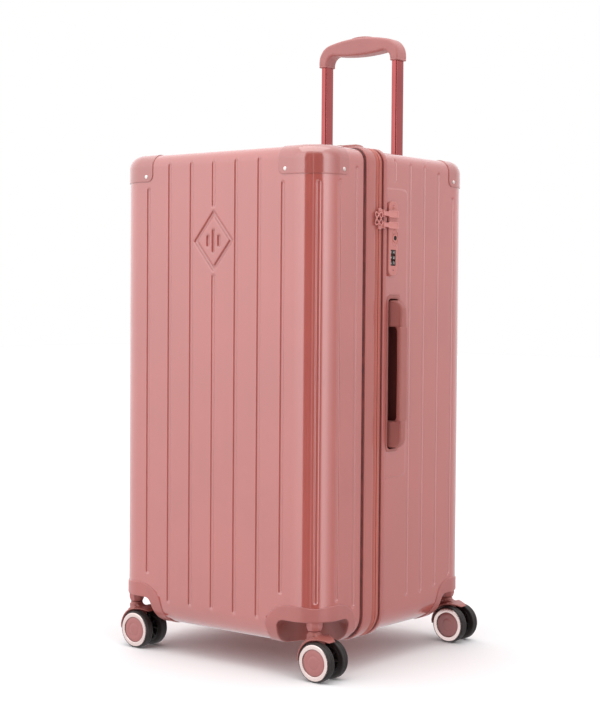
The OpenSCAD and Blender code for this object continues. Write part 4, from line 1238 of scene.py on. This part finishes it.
strap_lo, strap_hi = mm_box("packing_straps")
buckle_lo, buckle_hi = mm_box("strap_buckle")
STRAP_Y = (strap_lo[1] + strap_hi[1]) / 2
STRAP_HALF_Z = (strap_hi[2] - strap_lo[2]) / 2
_, BUCKLE_Y, MID_Z = (buckle_lo + buckle_hi) / 2


def strap(start, end, phase):
    """A webbing strip from start to end that sags and rolls a little, thinner at both edges."""
    along = (end - start) / np.linalg.norm(end - start)
    across = np.array([-along[2], 0, along[0]])
    s = np.linspace(0, 1, 90)[:, None]
    w = np.array([-12.0, -11.6, -8, -4, 0, 4, 8, 11.6, 12.0])[None, :]
    line = start + (end - start) * s[..., None] + across * w[..., None]
    lift = 0.8 * np.sin(math.pi * s) * np.sin(7.0 * s + phase) + 0.35 * np.sin(9 * s + phase) * w / 12
    thick = np.where(np.abs(w) < 11.8, 0.7, 0.35)
    return thin_sheet(*(line + (lift + way * thick)[..., None] * np.array([0, 1, 0]) for way in (-1, 1)))


def buckle_solid(x, y, z):
    u, v, w = x, z - MID_Z, y - BUCKLE_Y
    body = extrude(rrect(u, v, 31.9, 23.9, 9.0), w, 3.9, 1.6)
    bars = np.minimum(extrude(rrect(np.abs(u) - 19, v, 5.5, 9, 2.0), w + 4.0, 1.3, 0.4),
                      extrude(np.abs(rrect(u, v, 27.5, 19.5, 6.0)) - 0.5, w + 4.0, 0.6, 0.3))
    d = smax(body, -bars, 0.5)
    button = extrude(rrect(u, v, 9.5, 6.5, 2.5), w + 3.4, 1.2, 0.6)
    trench = extrude(np.abs(rrect(u, v, 10.4, 7.4, 3.0)) - 0.5, w + 4.0, 1.2, 0.3)
    return smin(smax(d, -trench, 0.3), np.maximum(button, -w - 3.9), 0.4)


def anchor_plate(cx, cz):
    def solid(x, y, z):
        plate = extrude(rrect(x - cx, z - cz, 9.0, 11.0, 3.0), y - STRAP_Y, 1.9, 0.8)
        stud = extrude(np.hypot(x - cx, z - cz) - 3.2, y - STRAP_Y + 1.9, 0.7, 0.5)
        return smin(plate, stud, 0.4)

    return field_mesh(solid, (cx - 9, STRAP_Y - 2.6, cz - 11), (cx + 9, STRAP_Y + 1.9, cz + 11), 0.6)


for number, (ex, ez) in enumerate(((-1, -1), (1, -1), (1, 1), (-1, 1))):
    start = np.array([ex * 26.0, STRAP_Y, MID_Z + ez * 17.0])
    end = np.array([ex * (strap_hi[0] - 11), STRAP_Y, MID_Z + ez * (STRAP_HALF_Z - 8)])
    ob = make(f"strap_web_{number + 1}", strap(start, end, number), M_STRAP, "root",
              "packing_straps")
buckle = field_mesh(buckle_solid, (-32, buckle_lo[1], buckle_lo[2]), (32, buckle_hi[1], buckle_hi[2]), 0.6)
make("strap_buckle_body", buckle, M_BUCKLE, "root", "strap_buckle")
plates = [anchor_plate(ex * (strap_hi[0] - 9), MID_Z + ez * (STRAP_HALF_Z - 7))
          for ex in (-1, 1) for ez in (-1, 1)]
make("strap_anchor_plates", joined(plates), M_BUCKLE, "root")


# ---- camera, light and floor, in metres ----

def add_object(name, data, right=(1, 0, 0), above=(0, 1, 0), back=(0, 0, 1), place=(0, 0, 0)):
    """An object in the scene with its three axes and its place."""
    ob = bpy.data.objects.new(name, data)
    ob.matrix_world = Matrix([*zip(right, above, back, place), (0, 0, 0, 1)])
    bpy.context.scene.collection.objects.link(ob)
    return ob


def add_camera():
    """The photograph's viewing angle: heading, tilt and roll, focal length and place."""
    yaw, pitch, roll = math.radians(38.30), math.radians(2.138), math.radians(0.422)
    forward = np.array([-math.sin(yaw) * math.cos(pitch), math.cos(yaw) * math.cos(pitch), -math.sin(pitch)])
    level = np.array([math.cos(yaw), math.sin(yaw), 0.0])
    above = np.cross(level, forward)
    data = bpy.data.cameras.new("camera")
    data.sensor_width = 36.0
    data.lens = 36.0 * 1555.94 / 723.0
    data.clip_end = 50.0
    bpy.context.scene.camera = add_object(
        "camera", data, math.cos(roll) * level + math.sin(roll) * above,
        math.cos(roll) * above - math.sin(roll) * level, -forward, (1.50525, -1.89376, 0.52862))


def softbox(name, place, target, width, height, power):
    data = bpy.data.lights.new(name, "AREA")
    data.shape = "RECTANGLE"
    data.size, data.size_y = width, height
    data.energy = power
    back = np.array(place, float) - np.array(target, float)
    back /= np.linalg.norm(back)
    level = np.cross([0, 0, 1.0], back)
    level /= np.linalg.norm(level)
    add_object(name, data, level, np.cross(back, level), back, place)


def add_floor():
    me = bpy.data.meshes.new("floor")
    me.from_pydata([(-12, -12, 0), (12, -12, 0), (12, 12, 0), (-12, 12, 0)], [], [(0, 1, 2, 3)])
    m, nt, bsdf, where = new_material("floor_pale")
    feed(nt, bsdf, {
        "Base Color": ramp(nt, noise(nt, where, 1.5), (0.86, 0.86, 0.86), (0.90, 0.90, 0.90)),
        "Roughness": 0.75, "Specular IOR Level": 0.2})
    me.materials.append(m)
    floor = add_object("floor", me)
    floor.visible_glossy = False


# The light tent: brightness by compass direction in degrees, darkest towards the camera.
TENT_GAP, TENT_POWER = -51.5, 1.9
TENT = [(-231, 0.5), (-200, 0.6), (-180, 0.6), (-150, 0.62), (-128, 0.66), (-112, 0.74), (-90, 0.88),
        (-86, 0.85), (-82, 0.03), (-70, 0.03), (-68, 0.14), (-66, 0.03), (-58, 0.03), (-56, 0.5), (-54, 0.03),
        (-27, 0.03), (-20, 0.95), (-8, 0.9), (5, 0.55), (20, 0.32), (38, 0.3), (42, 0.5), (45, 0.38),
        (60, 0.38), (100, 0.5), (128, 0.5)]


def add_tent():
    """World light: panels round the horizon under a grey roof, with plain white behind the object."""
    world = bpy.data.worlds.new("studio")
    world.use_nodes = True
    nt = world.node_tree
    where = add(nt, "TexCoord", {}).outputs["Generated"]
    turned = add(nt, "Mapping", {"Vector": where, "Rotation": (0, 0, math.radians(-TENT_GAP))})
    compass = add(nt, "TexGradient", {"Vector": turned.outputs["Vector"]}, gradient_type="RADIAL")
    compass = compass.outputs["Fac"]
    panels = add(nt, "ValToRGB", {"Fac": compass})
    while len(panels.color_ramp.elements) < len(TENT):
        panels.color_ramp.elements.new(0.5)
    # A stop that moves may change its number, so the colours follow when all are in place
    for stop, (azimuth, _) in zip(panels.color_ramp.elements, TENT):
        stop.position = 0.5 + (azimuth - TENT_GAP) / 360
    for stop, (_, level) in zip(panels.color_ramp.elements, TENT):
        stop.color = (level * 1.02, level * 0.985, level * 1.01, 1)
    height = add(nt, "SeparateXYZ", {"Vector": where}).outputs["Z"]
    overhead = between(nt, height, 0.55, 0.85)
    roofed = add(nt, "Mix", {0: overhead, 6: panels.outputs["Color"], 7: (0.6, 0.6, 0.6, 1)},
                 data_type="RGBA")
    rise = between(nt, height, -0.2, 0.15, 0.78, 1.25)
    light = add(nt, "VectorMath", {0: roofed.outputs[2], "Scale": rise}, operation="SCALE").outputs[0]
    lit = feed(nt, nt.nodes["Background"], {"Color": light, "Strength": TENT_POWER})
    seen = add(nt, "Background", {"Color": (1, 1, 1, 1), "Strength": 1.0})
    camera_ray = add(nt, "LightPath", {}).outputs["Is Camera Ray"]
    mix = add(nt, "MixShader", {0: camera_ray, 1: lit.outputs[0], 2: seen.outputs[0]})
    feed(nt, nt.nodes["World Output"], {"Surface": mix.outputs[0]})
    bpy.context.scene.world = world


add_camera()
add_floor()
add_tent()
softbox("top_box", (0.2, -0.4, 3.0), (0.0, 0.0, 0.5), 2.4, 2.4, 22)
bpy.context.scene.view_settings.view_transform = "Standard"
